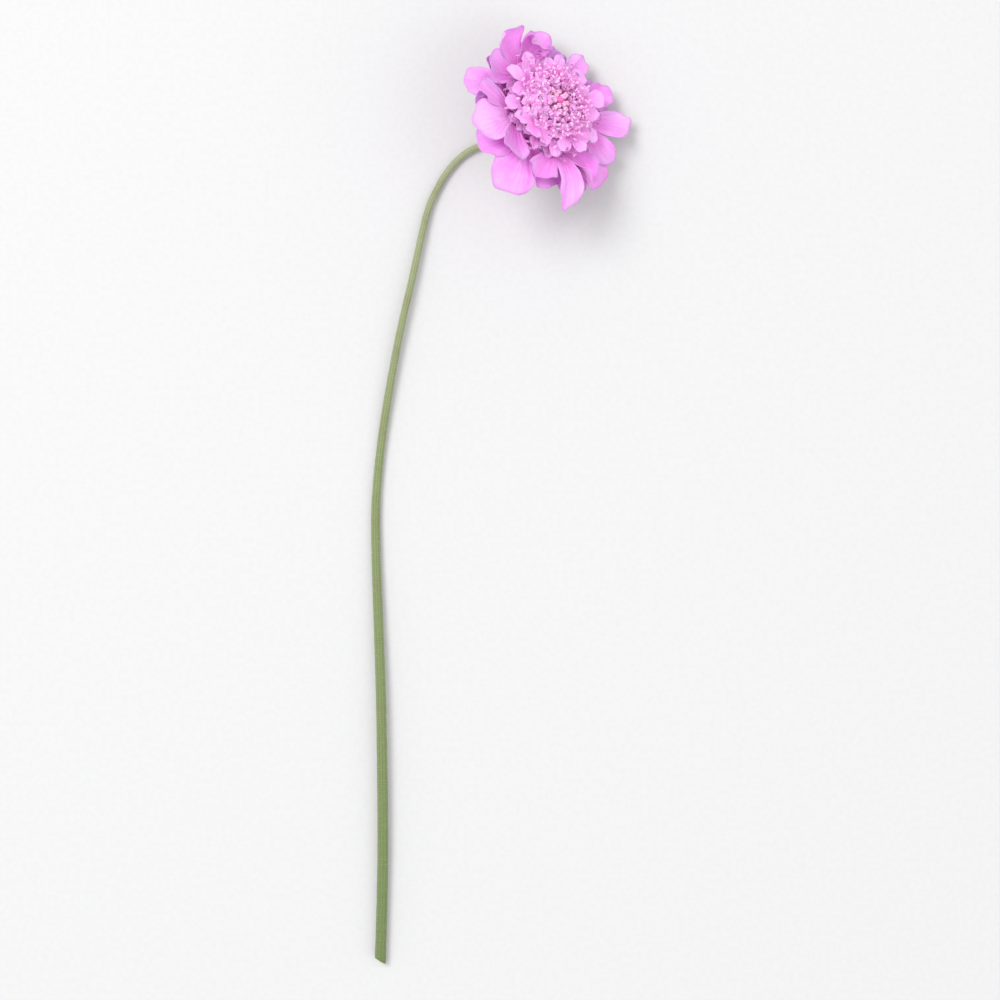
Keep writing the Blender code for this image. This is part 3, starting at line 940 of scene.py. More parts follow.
@dataclass(frozen=True)
class CorollaStyle:
    """What the florets of one kind share."""

    lobes: tuple[Lobe, ...]
    throat_radius: float
    neck_radius: float
    root_radius: float
    margin_columns: float
    limb_rows: int
    tube_rows: int
    thickness: Pair
    root_thickness: float = 0.25
    notch: float = 0.45
    roundness: float = 2.3
    throat_depth: float = 0.8
    cup: float = 0.09
    cup_balance: float = 0.45
    droop: float = 0.11
    wave: float = 7.0
    wave_shift: float = 2.1
    back_rise: float = 10.0
    back_angles: Pair = (70.0, 105.0)
    flare: float = 0.17
    tilt: float = 0.1
    frill: float = 0.3
    frill_waves: Pair = (11.0, 19.0)
    pleat: float = 0.1
    pleats: float = 2.5
    margin_wave: float = 0.022
    margin_waves: Pair = (5.0, 12.0)
    curl_start: float = 0.62
    roll_angle: float = 92.0
    opening: float = 0.0
    tube_rib: float = 0.05


@dataclass(frozen=True)
class Floret:
    """One floret: its azimuth, the (radius, height) of its root and throat, the slope and size of its
    limb, and how each of its lobes is grown, curled, toned, folded, swayed, twisted and slimmed."""

    turn: float
    root: Pair
    throat: Pair
    lift: float
    reach: float
    yaw: float
    ruffle: float
    lengths: tuple[float, ...]
    phase: float
    curls: tuple[float, ...]
    tones: tuple[float, ...]
    wobble: tuple[float, ...]
    folds: tuple[float, ...] = (0.1,) * 5
    sways: tuple[float, ...] = (0.0,) * 5
    twists: tuple[float, ...] = (0.0,) * 5
    slims: tuple[float, ...] = (0.0,) * 5


@dataclass(frozen=True)
class Columns:
    """The columns of a corolla's sheet: their angles, lobe numbers, places across, and shares."""

    angle: Array
    number: Array
    step: Array
    share: Array
    half: Array

    def of_lobes(self, values: Sequence[float]) -> Array:
        """Returns each column's value out of one for each lobe."""
        return np.array(values)[self.number]

    def fullness(self) -> Array:
        """Returns 1 along the middle of each lobe, down to 0 at its sides and on the lip behind."""
        return (1.0 - np.abs(self.step) ** 4) * (self.half > 0.0)


def ripple(step: Array, rates: Pair, starts: Sequence[Amount], second: float) -> Array:
    """Returns the sum of a slow wave across a lobe and a quicker one that is this share of its height."""
    return np.sin(rates[0] * step + starts[0]) + second * np.sin(rates[1] * step + starts[1])


@dataclass(frozen=True)
class Corolla:
    """One floret's corolla: a tube that opens out into a lobed limb, as one thin sheet."""

    style: CorollaStyle
    floret: Floret
    margin_samples: int = 241
    least_columns: int = 7
    lip_columns: int = 6
    lip_dip: float = 0.25
    crowding: float = 1.25
    least_roll: float = 0.01
    least_bend: float = 0.001

    def throat(self) -> Array:
        """Returns the throat's middle in the head's frame."""
        return around(self.floret.throat[0], self.floret.turn, self.floret.throat[1])

    def root(self) -> Array:
        """Returns the root in the head's frame."""
        return around(self.floret.root[0], self.floret.turn, self.floret.root[1])

    def directions(self) -> tuple[Array, Array, Array, Array]:
        """Finds the floret's own directions.

        Returns:
            The directions outward, across, along the limb and square to it.
        """
        turn, lift = self.floret.turn, self.floret.lift
        outward, rise = rising(turn, 0.0), math.radians(lift)
        facing = UP * math.cos(rise) - outward * math.sin(rise)
        return outward, rising(turn + 90.0, 0.0), rising(turn, lift), facing

    def columns(self) -> Columns:
        """Spreads the sheet's columns evenly along the lobes' margins.

        Returns:
            The columns in the order of their angles, all the way round.
        """
        style, rows = self.style, []
        step = -np.cos(np.linspace(0.0, math.pi, self.margin_samples))
        fullness = style.notch + (1.0 - style.notch) * np.sqrt(1.0 - np.abs(step) ** style.roundness)
        for number, lobe in enumerate(style.lobes):
            middle, half = (lobe.first + lobe.last) / 2.0, (lobe.last - lobe.first) / 2.0
            bearing = np.radians(half * step)
            margin = np.stack((fullness * np.cos(bearing), fullness * np.sin(bearing)), axis=-1)
            lengths = np.linalg.norm(np.diff(margin, axis=0), axis=1)
            travelled = np.concatenate(((0.0,), np.cumsum(lengths)))
            count = max(self.least_columns, round(style.margin_columns * travelled[-1] * lobe.share))
            for place in range(count):
                here = float(np.interp(travelled[-1] * place / count, travelled, step))
                share = lobe.share * float(np.interp(here, step, fullness))
                if place == 0:
                    share = style.notch * min(lobe.share, style.lobes[number - 1].share)
                rows.append((middle + half * here, number, here, share, half))
        last = style.lobes[-1]
        gap = 360.0 - (last.last - style.lobes[0].first)
        if gap > 1.0:
            for place in range(self.lip_columns):
                t = place / self.lip_columns
                share = style.notch * last.share * (1.0 - self.lip_dip * math.sin(math.pi * t))
                rows.append((last.last + gap * t, len(style.lobes) - 1, 1.0 - 2.0 * t, share, 0.0))
        table = np.array(rows)
        return Columns(table[:, 0], table[:, 1].astype(int), table[:, 2], table[:, 3], table[:, 4])

    def reaches(self, columns: Columns) -> Array:
        """Gives the distance from the floret's axis to the finely waved margin.

        Args:
            columns: The sheet's columns.

        Returns:
            The distance for each column.
        """
        style, floret = self.style, self.floret
        margin = ripple(columns.step, style.margin_waves, floret.wobble[:2], 0.6)
        length = floret.reach * columns.share * columns.of_lobes(floret.lengths)
        return length * (1.0 + style.margin_wave * margin * columns.fullness())

    def relief(self, columns: Columns, row: Array, distance: Array) -> Array:
        """Shapes the limb's hollow, its droop, ruffles, frills and pleats.

        Args:
            columns: The sheet's columns.
            row: Each row's share of the way from the throat to the margin.
            distance: How far each point is from the floret's axis.

        Returns:
            The height of each point over a flat limb.
        """
        style, floret, step = self.style, self.floret, columns.step
        spread = distance / floret.reach
        height = -style.throat_depth * np.exp(-((distance / (2.0 * style.throat_radius)) ** 2))
        height += style.cup * distance * (np.abs(step) ** 1.5 - style.cup_balance)
        wave = np.sin(style.wave * step + style.wave_shift * columns.number + floret.phase)
        height += floret.ruffle * row**2 * spread * wave
        height -= style.droop * distance * spread**1.5
        back_rise = math.tan(math.radians(style.back_rise))
        height += distance * back_rise * smooth_step(*style.back_angles, np.abs(columns.angle))
        starts = (floret.wobble[2] + columns.number, floret.wobble[3])
        frill = ripple(step, style.frill_waves, starts, 0.5) * (0.4 + 0.6 * np.abs(step))
        height += style.frill * row**4 * frill
        pleats = np.cos(FULL_TURN * style.pleats * step) * np.sin(math.pi * row**0.8)
        return height - style.pleat * pleats * columns.fullness()

    def limb(self, columns: Columns) -> tuple[Array, Array]:
        """Shapes the limb: its lobes are folded lengthwise, rolled at their tips and swayed sideways.

        Args:
            columns: The sheet's columns.

        Returns:
            The limb's points in rows from the throat to the rim, and each row's share of the way.
        """
        style, floret = self.style, self.floret
        step, half = columns.step, columns.half
        shares = 1.0 - (1.0 - steps(style.limb_rows)) ** self.crowding
        length, row = self.reaches(columns), shares[:, None]
        distance = style.throat_radius + row * (length - style.throat_radius)
        spread, width = distance / floret.reach, distance * np.sin(np.radians(half))
        height = self.relief(columns, row, distance)
        apart = smooth_step(style.notch * 0.8, 0.85, spread)
        height += (style.tilt + columns.of_lobes(floret.twists)) * width * step * apart
        folds = columns.of_lobes(floret.folds) * apart
        roll = np.maximum(folds, self.least_roll) * math.radians(style.roll_angle)
        height += width * (1.0 - np.cos(roll * step)) / roll
        start = length * style.curl_start
        rolled = np.maximum(distance - start, 0.0)
        curls = columns.of_lobes(floret.curls)
        bend = np.where(np.abs(curls) < self.least_roll, self.least_roll, curls) * (1.0 - np.abs(step) ** 3)
        bend = np.where(np.abs(bend) < self.least_bend, self.least_bend, bend)
        distance = np.minimum(distance, start) + np.sin(bend * rolled) / bend
        height += (1.0 - np.cos(bend * rolled)) / bend
        opening = math.radians(style.opening)
        height, distance = (
            height * math.cos(opening) + distance * math.sin(opening),
            distance * math.cos(opening) - height * math.sin(opening) * 0.5,
        )
        swing = half * step * (style.flare * apart + np.sinc(roll * step / math.pi) - 1.0)
        swing -= half * step * columns.of_lobes(floret.slims) * smooth_step(0.3, 0.7, spread)
        swing += columns.of_lobes(floret.sways) * smooth_step(0.3, 1.0, spread)
        bearing = np.radians(columns.angle + swing + floret.yaw)
        _, across, along, facing = self.directions()
        points = self.throat() + along * (distance * np.cos(bearing))[..., None]
        points = points + across * (distance * np.sin(bearing))[..., None] + facing * height[..., None]
        return points, shares

    def tube(self, columns: Columns, mouth: Array) -> tuple[Array, Array]:
        """Shapes the tube below the limb.

        Args:
            columns: The sheet's columns.
            mouth: The limb's innermost row.

        Returns:
            The tube's points in rows from the root up, and each row's place from -1 to 0.
        """
        style, floret = self.style, self.floret
        outward, across, _, facing = self.directions()
        root, centre = self.root(), mouth.mean(axis=0)
        way = centre - root
        slope = math.atan2(way @ UP, way @ outward)
        upright = math.atan2(facing @ UP, facing @ outward)
        bearing = np.radians(columns.angle + floret.yaw)
        rows, places = [], np.linspace(-1.0, 0.0, style.tube_rows + 1)[:-1]
        for place in places:
            t = place + 1.0
            tilt = slope + (upright - slope) * float(smooth_step(0.4, 1.0, t))
            plane = outward * math.sin(tilt) - UP * math.cos(tilt)
            radius = style.root_radius
            radius += (style.neck_radius - style.root_radius) * float(smooth_step(0.0, 0.3, t))
            radius += (style.throat_radius - style.neck_radius) * float(smooth_step(0.35, 1.0, t))
            ribbed = radius * (1.0 + style.tube_rib * np.cos(5.0 * bearing))
            ring = root + way * t + plane * (ribbed * np.cos(bearing))[:, None]
            rows.append(ring + across * (ribbed * np.sin(bearing))[:, None])
        return np.array(rows), places

    def add_to(self, draft: Draft) -> None:
        """Adds the corolla to a piece.

        Args:
            draft: Its piece.
        """
        columns = self.columns()
        limb, shares = self.limb(columns)
        tube, places = self.tube(columns, limb[0])
        points = np.concatenate((tube, limb))
        along = np.concatenate((places, shares))
        tone = columns.of_lobes(self.floret.tones)
        thickness = np.interp(along, (-1.0, 0.0, 1.0), (self.style.root_thickness, *self.style.thickness))
        settled = draft.head.settled(draft.head.placed(points), self.style.thickness[0] / 2.0)
        draft.add_shell(settled, thickness, paint_of(along[:, None], columns.step, tone), closed=True)


LARGE_LOBES = (Lobe(-80.0, -27.0, 0.88), Lobe(-27.0, 27.0, 1.0), Lobe(27.0, 80.0, 0.88))
ALL_LOBES = (Lobe(-122.0, -80.0, 0.38), *LARGE_LOBES, Lobe(80.0, 122.0, 0.38))
EVEN_LOBES = tuple(Lobe(-180.0 + 72.0 * number, -108.0 + 72.0 * number, 1.0) for number in range(5))


@dataclass(frozen=True)
class StamenStyle:
    """The sizes of a floret's stamens."""

    length: float
    spread: float
    tones: Pair
    count: int = 4
    rows: int = 7
    sides: int = 5
    filament_radius: float = 0.1
    taper: float = 0.35
    lengths: Pair = (0.8, 1.12)
    spreads: Pair = (0.5, 1.3)
    strays: float = 25.0
    foot_distance: float = 0.35
    bow: Pair = (0.05, 0.16)
    nod: float = 0.45
    anther_length: float = 1.5
    anther_width: float = 0.33
    anther_depth: float = 0.25
    anther_bend: float = 0.26
    anther_rise: float = 0.7
    anther_rows: int = 7
    anther_sides: int = 8
    groove_width: float = 0.45
    groove_depth: float = 0.35

    def add_to(self, draft: Draft, mouth: Array, axis: Array, rng: random.Random) -> None:
        """Adds one floret's stamens to a piece.

        Args:
            draft: Their piece.
            mouth: The floret's throat in the head's frame.
            axis: The way that it faces.
            rng: Draws the small differences.
        """
        first, second = square_to(unit(axis), np.array((0.3, 0.1, 1.0)))
        start_turn = rng.uniform(0.0, 360.0)
        t = steps(self.rows)[:, None]
        radii = self.filament_radius * (1.0 - self.taper * t[:, 0])
        for number in range(self.count):
            turn = start_turn + 360.0 * number / self.count + rng.uniform(-self.strays, self.strays)
            side = spoke(first, second, math.radians(turn))
            length = self.length * rng.uniform(*self.lengths)
            way = unit(unit(axis) + side * self.spread * rng.uniform(*self.spreads))
            bow = side * length * rng.uniform(*self.bow)
            line = mouth + side * self.foot_distance + way * (length * t) + bow * (4.0 * t * (1.0 - t))
            tone = rng.uniform(*self.tones)
            draft.add_tube(rings_along(draft.head.placed(line), radii, self.sides), paint_of(t, 0.0, tone))
            hint = np.array(drawn(rng, -1.0, 1.0, 3))
            up = unit(way + hint * self.nod)
            self.add_anther(draft, line[-1], up, unit(np.cross(up, hint[::-1])), tone)

    def add_anther(self, draft: Draft, middle: Array, up: Array, long: Array, tone: float) -> None:
        """Adds one anther: two thecae side by side with a groove between them.

        Args:
            draft: Its piece.
            middle: Where the filament holds it.
            up: The way the filament points.
            long: The way the anther is longest.
            tone: How dusky or dusted it is.
        """
        side, angles = np.cross(up, long), circle(self.anther_sides)
        places = np.linspace(-1.0, 1.0, self.anther_rows + 2)[1:-1]
        groove = np.exp(-((np.cos(angles) / self.groove_width) ** 2))
        swell = np.sqrt(1.0 - np.abs(places) ** 3)[:, None]
        sideways = np.cos(angles) * self.anther_width * swell
        upward = np.sin(angles) * self.anther_depth * swell * (1.0 - self.groove_depth * groove)
        upward = upward - self.anther_bend * places[:, None] ** 2
        foot = middle + up * self.anther_depth * self.anther_rise
        centres = foot + long * (places * self.anther_length / 2.0)[:, None]
        points = centres[:, None] + side * sideways[..., None] + up * upward[..., None]
        paint = paint_of((places[:, None] + 1.0) / 2.0, groove, tone)
        draft.add_tube(draft.head.placed(points), paint, slot=1)


@dataclass(frozen=True)
class Pistil:
    """A floret's style with its small round stigma."""

    length: float = 4.4
    radius: float = 0.11
    knob: float = 0.3
    sides: int = 7
    lean: float = 0.12
    knob_profile: tuple[Pair, ...] = ((0.96, 0.6), (1.0, 0.95), (1.04, 1.0), (1.08, 0.75), (1.1, 0.3))

    def add_to(self, draft: Draft, mouth: Array, axis: Array, rng: random.Random) -> None:
        """Adds the style to a piece.

        Args:
            draft: Its piece.
            mouth: The floret's throat in the head's frame.
            axis: The way that it faces.
            rng: Draws the small differences.
        """
        lean = np.array((*drawn(rng, -self.lean, self.lean, 2), 0.0))
        length = self.length * rng.uniform(0.75, 1.1)
        stalk, knob = np.linspace(0.0, 0.93, 6), np.array(self.knob_profile)
        t = np.concatenate((stalk, knob[:, 0]))[:, None]
        radii = np.concatenate((np.full(len(stalk), self.radius), self.knob * knob[:, 1]))
        line = mouth + unit(axis) * length * t + lean * length * t**2
        paint = paint_of(t / t[-1], 0.0, rng.uniform(-1.0, 1.0))
        draft.add_tube(rings_along(draft.head.placed(line), radii, self.sides), paint)


@dataclass(frozen=True)
class RimSpot:
    """Where a marginal floret grows, how its lobes roll and fold, from one side to the other, and how much
    lighter or deeper than the others it is."""

    turn: float
    step_up: float
    lift: float
    reach: float
    yaw: float
    ruffle: float
    curls: tuple[float, ...] = (0.1, 0.1, -0.08, 0.12, 0.1)
    folds: tuple[float, ...] = (0.1, 0.1, 0.1, 0.1, 0.1)
    sways: tuple[float, ...] = (0.0, 0.0, 0.0, 0.0, 0.0)
    slims: tuple[float, ...] = (0.0, -0.12, -0.12, -0.12, 0.0)
    tone: float = 0.0


@dataclass(frozen=True)
class MarginalWhorl:
    """The large florets round the head's rim, with their stamens."""

    head: HeadFrame
    petal: PetalFinish
    filament: SlimFinish
    anther: AntherFinish
    root: Pair = (4.0, 4.0)
    throat: Pair = (10.8, 8.2)
    style: CorollaStyle = CorollaStyle(
        ALL_LOBES, throat_radius=1.1, neck_radius=0.72, root_radius=0.5,
        margin_columns=22.0, limb_rows=18, tube_rows=7, thickness=(0.3, 0.18),
    )
    spots: tuple[RimSpot, ...] = (
        RimSpot(-7.0, -0.6, 7.0, 13.6, 4.0, 0.5, curls=(0.1, -0.1, -0.08, 0.12, 0.1)),
        RimSpot(
            28.0, 0.6, 19.0, 11.2, -5.0, 0.6,
            curls=(0.1, 0.0, 0.1, 0.35, 0.1), slims=(0.0, 0.2, 0.15, 0.3, 0.0),
        ),
        RimSpot(
            65.0, -0.6, 8.0, 13.2, -6.0, 0.7,
            curls=(0.1, 0.3, 0.22, 0.15, 0.1), sways=(0.0, 8.0, 0.0, 0.0, 0.0),
        ),
        RimSpot(
            99.0, 0.6, 17.0, 16.8, 2.0, 0.9, curls=(0.1, 0.5, 0.25, 0.2, 0.1),
            folds=(0.1, 0.7, 0.6, 0.1, 0.1), sways=(0.0, -3.0, -6.0, -8.0, 0.0),
        ),
        RimSpot(
            136.0, -0.6, 9.0, 15.6, 5.0, 0.5, curls=(0.1, 0.2, -0.06, 0.1, 0.1),
            sways=(0.0, 0.0, 5.0, -16.0, 0.0), tone=0.6,
        ),
        RimSpot(172.0, 0.6, 19.0, 16.0, 4.0, 0.5, sways=(0.0, 8.0, 0.0, 0.0, 0.0), tone=0.2),
        RimSpot(212.0, -0.6, 7.0, 16.8, 0.0, 0.6, curls=(0.1, -0.08, -0.1, 0.12, 0.1)),
        RimSpot(
            254.0, 0.6, 18.0, 17.2, 8.0, 0.8, curls=(0.1, 0.1, -0.05, -0.05, 0.1),
            folds=(0.1, 0.2, 0.15, 1.4, 0.1), sways=(0.0, -4.0, -17.0, -26.0, 0.0),
            slims=(0.0, 0.0, 0.42, 0.3, 0.0), tone=-0.4,
        ),
        RimSpot(291.0, -0.6, 7.0, 16.8, -4.0, 0.6, curls=(0.1, 0.05, -0.05, 0.1, 0.1), tone=-1.6),
        RimSpot(
            327.0, 0.6, 18.0, 17.4, 4.0, 0.7, curls=(0.1, -0.1, 0.12, 0.25, 0.1),
            sways=(0.0, 8.0, 0.0, -8.0, 0.0), slims=(0.0, 0.3, 0.25, 0.3, 0.0), tone=-0.7,
        ),
    )
    stamens: StamenStyle = StamenStyle(6.2, 0.3, (-1.0, -0.3))
    stamen_slope: float = 48.0

    def florets(self) -> list[Floret]:
        """Grows the florets, drawing their lobes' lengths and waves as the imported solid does.

        Returns:
            The florets in the order of their spots.
        """
        rng, fine = random.Random(SEED), random.Random(SEED + 20)
        florets = []
        for spot in self.spots:
            lengths, phase = drawn(rng, 0.88, 1.06), rng.uniform(0.0, FULL_TURN)
            throat = (self.throat[0], self.throat[1] + spot.step_up)
            floret = Floret(
                spot.turn, self.root, throat, spot.lift, spot.reach, spot.yaw, spot.ruffle, lengths, phase,
                curls=tuple(curl * fine.uniform(0.7, 1.3) for curl in spot.curls),
                folds=tuple(fold * fine.uniform(0.8, 1.1) for fold in spot.folds),
                sways=tuple(sway + fine.uniform(-3.0, 3.0) for sway in spot.sways),
                twists=drawn(fine, -0.12, 0.12),
                slims=spot.slims,
                tones=tuple(spot.tone + tone for tone in drawn(fine, -0.8, 0.8)),
                wobble=drawn(fine, 0.0, FULL_TURN, 4),
            )
            florets.append(floret)
        return florets

    def build(self) -> Pieces:
        """Makes the corollas and their stamens.

        Returns:
            The two pieces.
        """
        corollas, pins, rng = Draft(self.head), Draft(self.head), random.Random(SEED + 21)
        for floret in self.florets():
            corolla = Corolla(self.style, floret)
            corolla.add_to(corollas)
            axis = rising(floret.turn, self.stamen_slope)
            self.stamens.add_to(pins, corolla.throat(), axis, rng)
        return [
            corollas.made("outer_corollas", [self.petal.made()], Node.OUTER, Slot.PETAL),
            pins.made("outer_stamens", [self.filament.made(), self.anther.made()], Node.OUTER, Slot.INNER),
        ]


@dataclass(frozen=True)
class MiddleWhorl:
    """A ring of smaller and evener florets above the marginal ones."""

    head: HeadFrame
    petal: PetalFinish
    name: str = "middle_corollas"
    seed: int = SEED + 2
    start: float = 0.5
    root: Pair = (5.6, 10.4)
    throat: Pair = (8.8, 12.4)
    count: int = 10
    reach: float = 7.2
    lifts: Pair = (8.0, 20.0)
    steps_up: Pair = (-0.4, 0.4)
    ruffle: float = 0.3
    style: CorollaStyle = CorollaStyle(
        ALL_LOBES, throat_radius=0.8, neck_radius=0.6, root_radius=0.5,
        margin_columns=11.5, limb_rows=12, tube_rows=4, thickness=(0.26, 0.16),
        flare=0.12, frill=0.18, pleat=0.06, pleats=1.5,
    )

    def florets(self) -> list[Floret]:
        """Grows the florets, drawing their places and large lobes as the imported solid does.

        Returns:
            The florets in the order of their azimuths.
        """
        rng, fine = random.Random(self.seed), random.Random(self.seed + 20)
        places = []
        for index in range(self.count):
            turn = 360.0 * (index + self.start) / self.count + rng.uniform(-4.0, 4.0)
            lift = self.lifts[index % 2] + rng.uniform(-2.0, 2.0)
            reach = self.reach * rng.uniform(0.9, 1.1)
            places.append((turn, self.steps_up[index % 2], lift, reach, rng.uniform(-8.0, 8.0)))
        florets = []
        for turn, step_up, lift, reach, yaw in places:
            lengths, phase = (1.0, *drawn(rng, 0.88, 1.06, 3), 1.0), rng.uniform(0.0, FULL_TURN)
            throat, phase = (self.throat[0], self.throat[1] + step_up), phase - self.style.wave_shift
            floret = Floret(
                turn, self.root, throat, lift, reach, yaw, self.ruffle, lengths, phase,
                curls=drawn(fine, -0.12, 0.3),
                folds=tuple(max(0.0, fold) for fold in drawn(fine, -0.2, 0.4)),
                sways=drawn(fine, -4.0, 4.0),
                twists=drawn(fine, -0.15, 0.15),
                tones=drawn(fine, -1.0, 1.0),
                wobble=drawn(fine, 0.0, FULL_TURN, 4),
            )
            florets.append(floret)
        return florets

    def build(self) -> Pieces:
        """Makes the corollas.

        Returns:
            The one piece, in a list.
        """
        corollas = Draft(self.head)
        for floret in self.florets():
            Corolla(self.style, floret).add_to(corollas)
        return [corollas.made(self.name, [self.petal.made()], Node.INNER, Slot.INNER)]


@dataclass(frozen=True)
class FunnelRing:
    """One ring of the pincushion's small florets."""

    count: int
    radius: float
    height: float
    lean: float
    reach: float
    first_turn: float
    opening: float
    droop: float


@dataclass(frozen=True)
class Pincushion:
    """The small florets in the middle of the head, with the stamens and styles that stand over it."""

    head: HeadFrame
    petal: PetalFinish
    filament: SlimFinish
    anther: AntherFinish
    pistil: SlimFinish
    middle: MiddleWhorl
    rings: tuple[FunnelRing, ...] = (
        FunnelRing(13, 8.0, 13.6, 38.0, 2.6, 0.0, 4.0, 0.1),
        FunnelRing(11, 6.3, 14.5, 26.0, 2.3, 14.0, 10.0, 0.1),
        FunnelRing(8, 4.6, 15.0, 16.0, 1.8, 33.75, 32.0, -0.1),
    )
    style: CorollaStyle = CorollaStyle(
        EVEN_LOBES, throat_radius=0.62, neck_radius=0.5, root_radius=0.4,
        margin_columns=4.0, limb_rows=7, tube_rows=4, thickness=(0.2, 0.15),
        notch=0.52, throat_depth=0.45, flare=0.06, frill=0.06, pleat=0.02,
    )
    tube_length: float = 2.6
    ruffle: float = 0.15
    strays: float = 0.25
    stamens: StamenStyle = StamenStyle(3.2, 0.45, (-0.35, 1.0))
    rim_stamens: StamenStyle = StamenStyle(4.4, 0.5, (-0.8, 0.6))
    pins: Pistil = Pistil()
    stamen_depth: float = 0.6
    pin_depth: float = 0.8
    rim_depth: float = 0.5
    rim_lean: float = 0.75

    def corollas(self) -> list[Corolla]:
        """Grows the small florets ring by ring.

        Returns:
            Their corollas.
        """
        fine, grown = random.Random(SEED + 23), []
        for ring in self.rings:
            style = replace(self.style, droop=ring.droop, opening=ring.opening)
            for index in range(ring.count):
                turn = ring.first_turn + 360.0 * index / ring.count + fine.uniform(-4.0, 4.0)
                lean = ring.lean + fine.uniform(-5.0, 5.0)
                radius = ring.radius + fine.uniform(-self.strays, self.strays)
                height = ring.height + fine.uniform(-self.strays, self.strays)
                tube, tilt = self.tube_length, math.radians(lean)
                root = (radius - tube * math.sin(tilt), height - tube * math.cos(tilt))
                reach, yaw = ring.reach * fine.uniform(0.9, 1.1), fine.uniform(-30.0, 30.0)
                floret = Floret(
                    turn, root, (radius, height), -lean, reach, yaw, self.ruffle,
                    lengths=drawn(fine, 0.85, 1.1),
                    phase=fine.uniform(0.0, FULL_TURN),
                    curls=drawn(fine, 0.0, 0.35),
                    tones=drawn(fine, -1.0, 1.0, 1) * len(EVEN_LOBES),
                    wobble=drawn(fine, 0.0, FULL_TURN, 4),
                )
                grown.append(Corolla(style, floret))
        return grown

    def build(self) -> Pieces:
        """Makes the small corollas and everything that stands out of them and the middle florets.

        Returns:
            The three pieces.
        """
        small, stamens, styles = (Draft(self.head) for _ in range(3))
        rng = random.Random(SEED + 24)
        for corolla in self.corollas():
            corolla.add_to(small)
            throat, axis = corolla.throat(), corolla.directions()[3]
            self.stamens.add_to(stamens, throat - axis * self.stamen_depth, axis, rng)
            self.pins.add_to(styles, throat - axis * self.pin_depth, axis, rng)
        for floret in self.middle.florets():
            corolla = Corolla(self.middle.style, floret)
            outward, _, _, facing = corolla.directions()
            axis = unit(facing + outward * self.rim_lean)
            foot = corolla.throat() - axis * self.rim_depth
            self.rim_stamens.add_to(stamens, foot, axis, rng)
            self.pins.add_to(styles, foot, axis, rng)
        return [
            small.made("small_corollas", [self.petal.made()], Node.INNER, Slot.INNER),
            stamens.made(
                "inner_stamens", [self.filament.made(), self.anther.made()], Node.INNER, Slot.INNER,
            ),
            styles.made("styles", [self.pistil.made()], Node.INNER, Slot.INNER),
        ]


@dataclass(frozen=True)
class Crown:
    """The closed buds at the head's middle."""

    head: HeadFrame
    finish: BudFinish
    rings: tuple[tuple[int, float, float, float], ...] = (
        (8, 4.4, 14.35, 0.95),
        (9, 2.95, 14.8, 0.84),
        (5, 1.55, 15.5, 0.78),
        (1, 0.0, 15.9, 0.98),
    )
    profile: tuple[tuple[float, ...], ...] = (
        (0.0, 0.5, -1.9), (0.2, 0.62, -1.1), (0.42, 0.94, -0.35), (0.6, 1.0, 0.15),
        (0.76, 0.88, 0.55), (0.88, 0.58, 0.8), (0.96, 0.26, 0.8), (1.0, 0.05, 0.7),
    )
    sides: int = 30
    rows: int = 16
    seam: float = 0.13
    lobe_swell: float = 0.04
    seam_fall: float = 0.8
    stretch: float = 1.15
    lean: float = 0.07
    spin: float = 1.2
    strays: float = 0.15
    sizes: Pair = (0.92, 1.06)

    def add_bud(self, draft: Draft, centre: Array, radius: float, rng: random.Random, tone: float) -> None:
        """Adds one bud: a club closed by five lobes that meet in a dimple.

        Args:
            draft: Its piece.
            centre: Its widest part's middle in the head's frame.
            radius: Its radius there.
            rng: Draws the small differences.
            tone: How rosy it is.
        """
        axis = unit(UP + np.array((centre[0], centre[1], 0.0)) * self.lean)
        first, second = square_to(axis, np.array((1.0, 0.2, 0.0)))
        angles, places = circle(self.sides), steps(self.rows)
        lobes = np.cos(5.0 * angles)
        read = flowing(self.profile, places)
        seam = self.seam * (1.0 - smooth_step(-1.0, -0.2, lobes)) * smooth_step(0.3, 0.7, places)[:, None]
        reach = radius * read[:, :1] * (1.0 + self.lobe_swell * lobes - seam)
        rise = radius * (read[:, 1:] * self.stretch - seam * self.seam_fall)
        spin = angles + rng.uniform(0.0, self.spin)
        points = centre + axis * rise[..., None] + first * (reach * np.cos(spin))[..., None]
        points = points + second * (reach * np.sin(spin))[..., None]
        paint = paint_of(places[:, None], lobes, tone)
        draft.add_tube(self.head.placed(points), paint)

    def build(self) -> Pieces:
        """Makes the buds.

        Returns:
            The one piece, in a list.
        """
        draft, rng = Draft(self.head), random.Random(SEED + 25)
        for count, radius, height, size in self.rings:
            for index in range(count):
                level = height + rng.uniform(-self.strays, self.strays)
                centre = around(radius, 360.0 * (index + 0.25) / count, level)
                tone = 1.0 if count == 1 else rng.uniform(-1.0, 0.5)
                self.add_bud(draft, centre, size * rng.uniform(*self.sizes), rng, tone)
        return [draft.made("crown_buds", [self.finish.made()], Node.BUDS, Slot.BUD)]


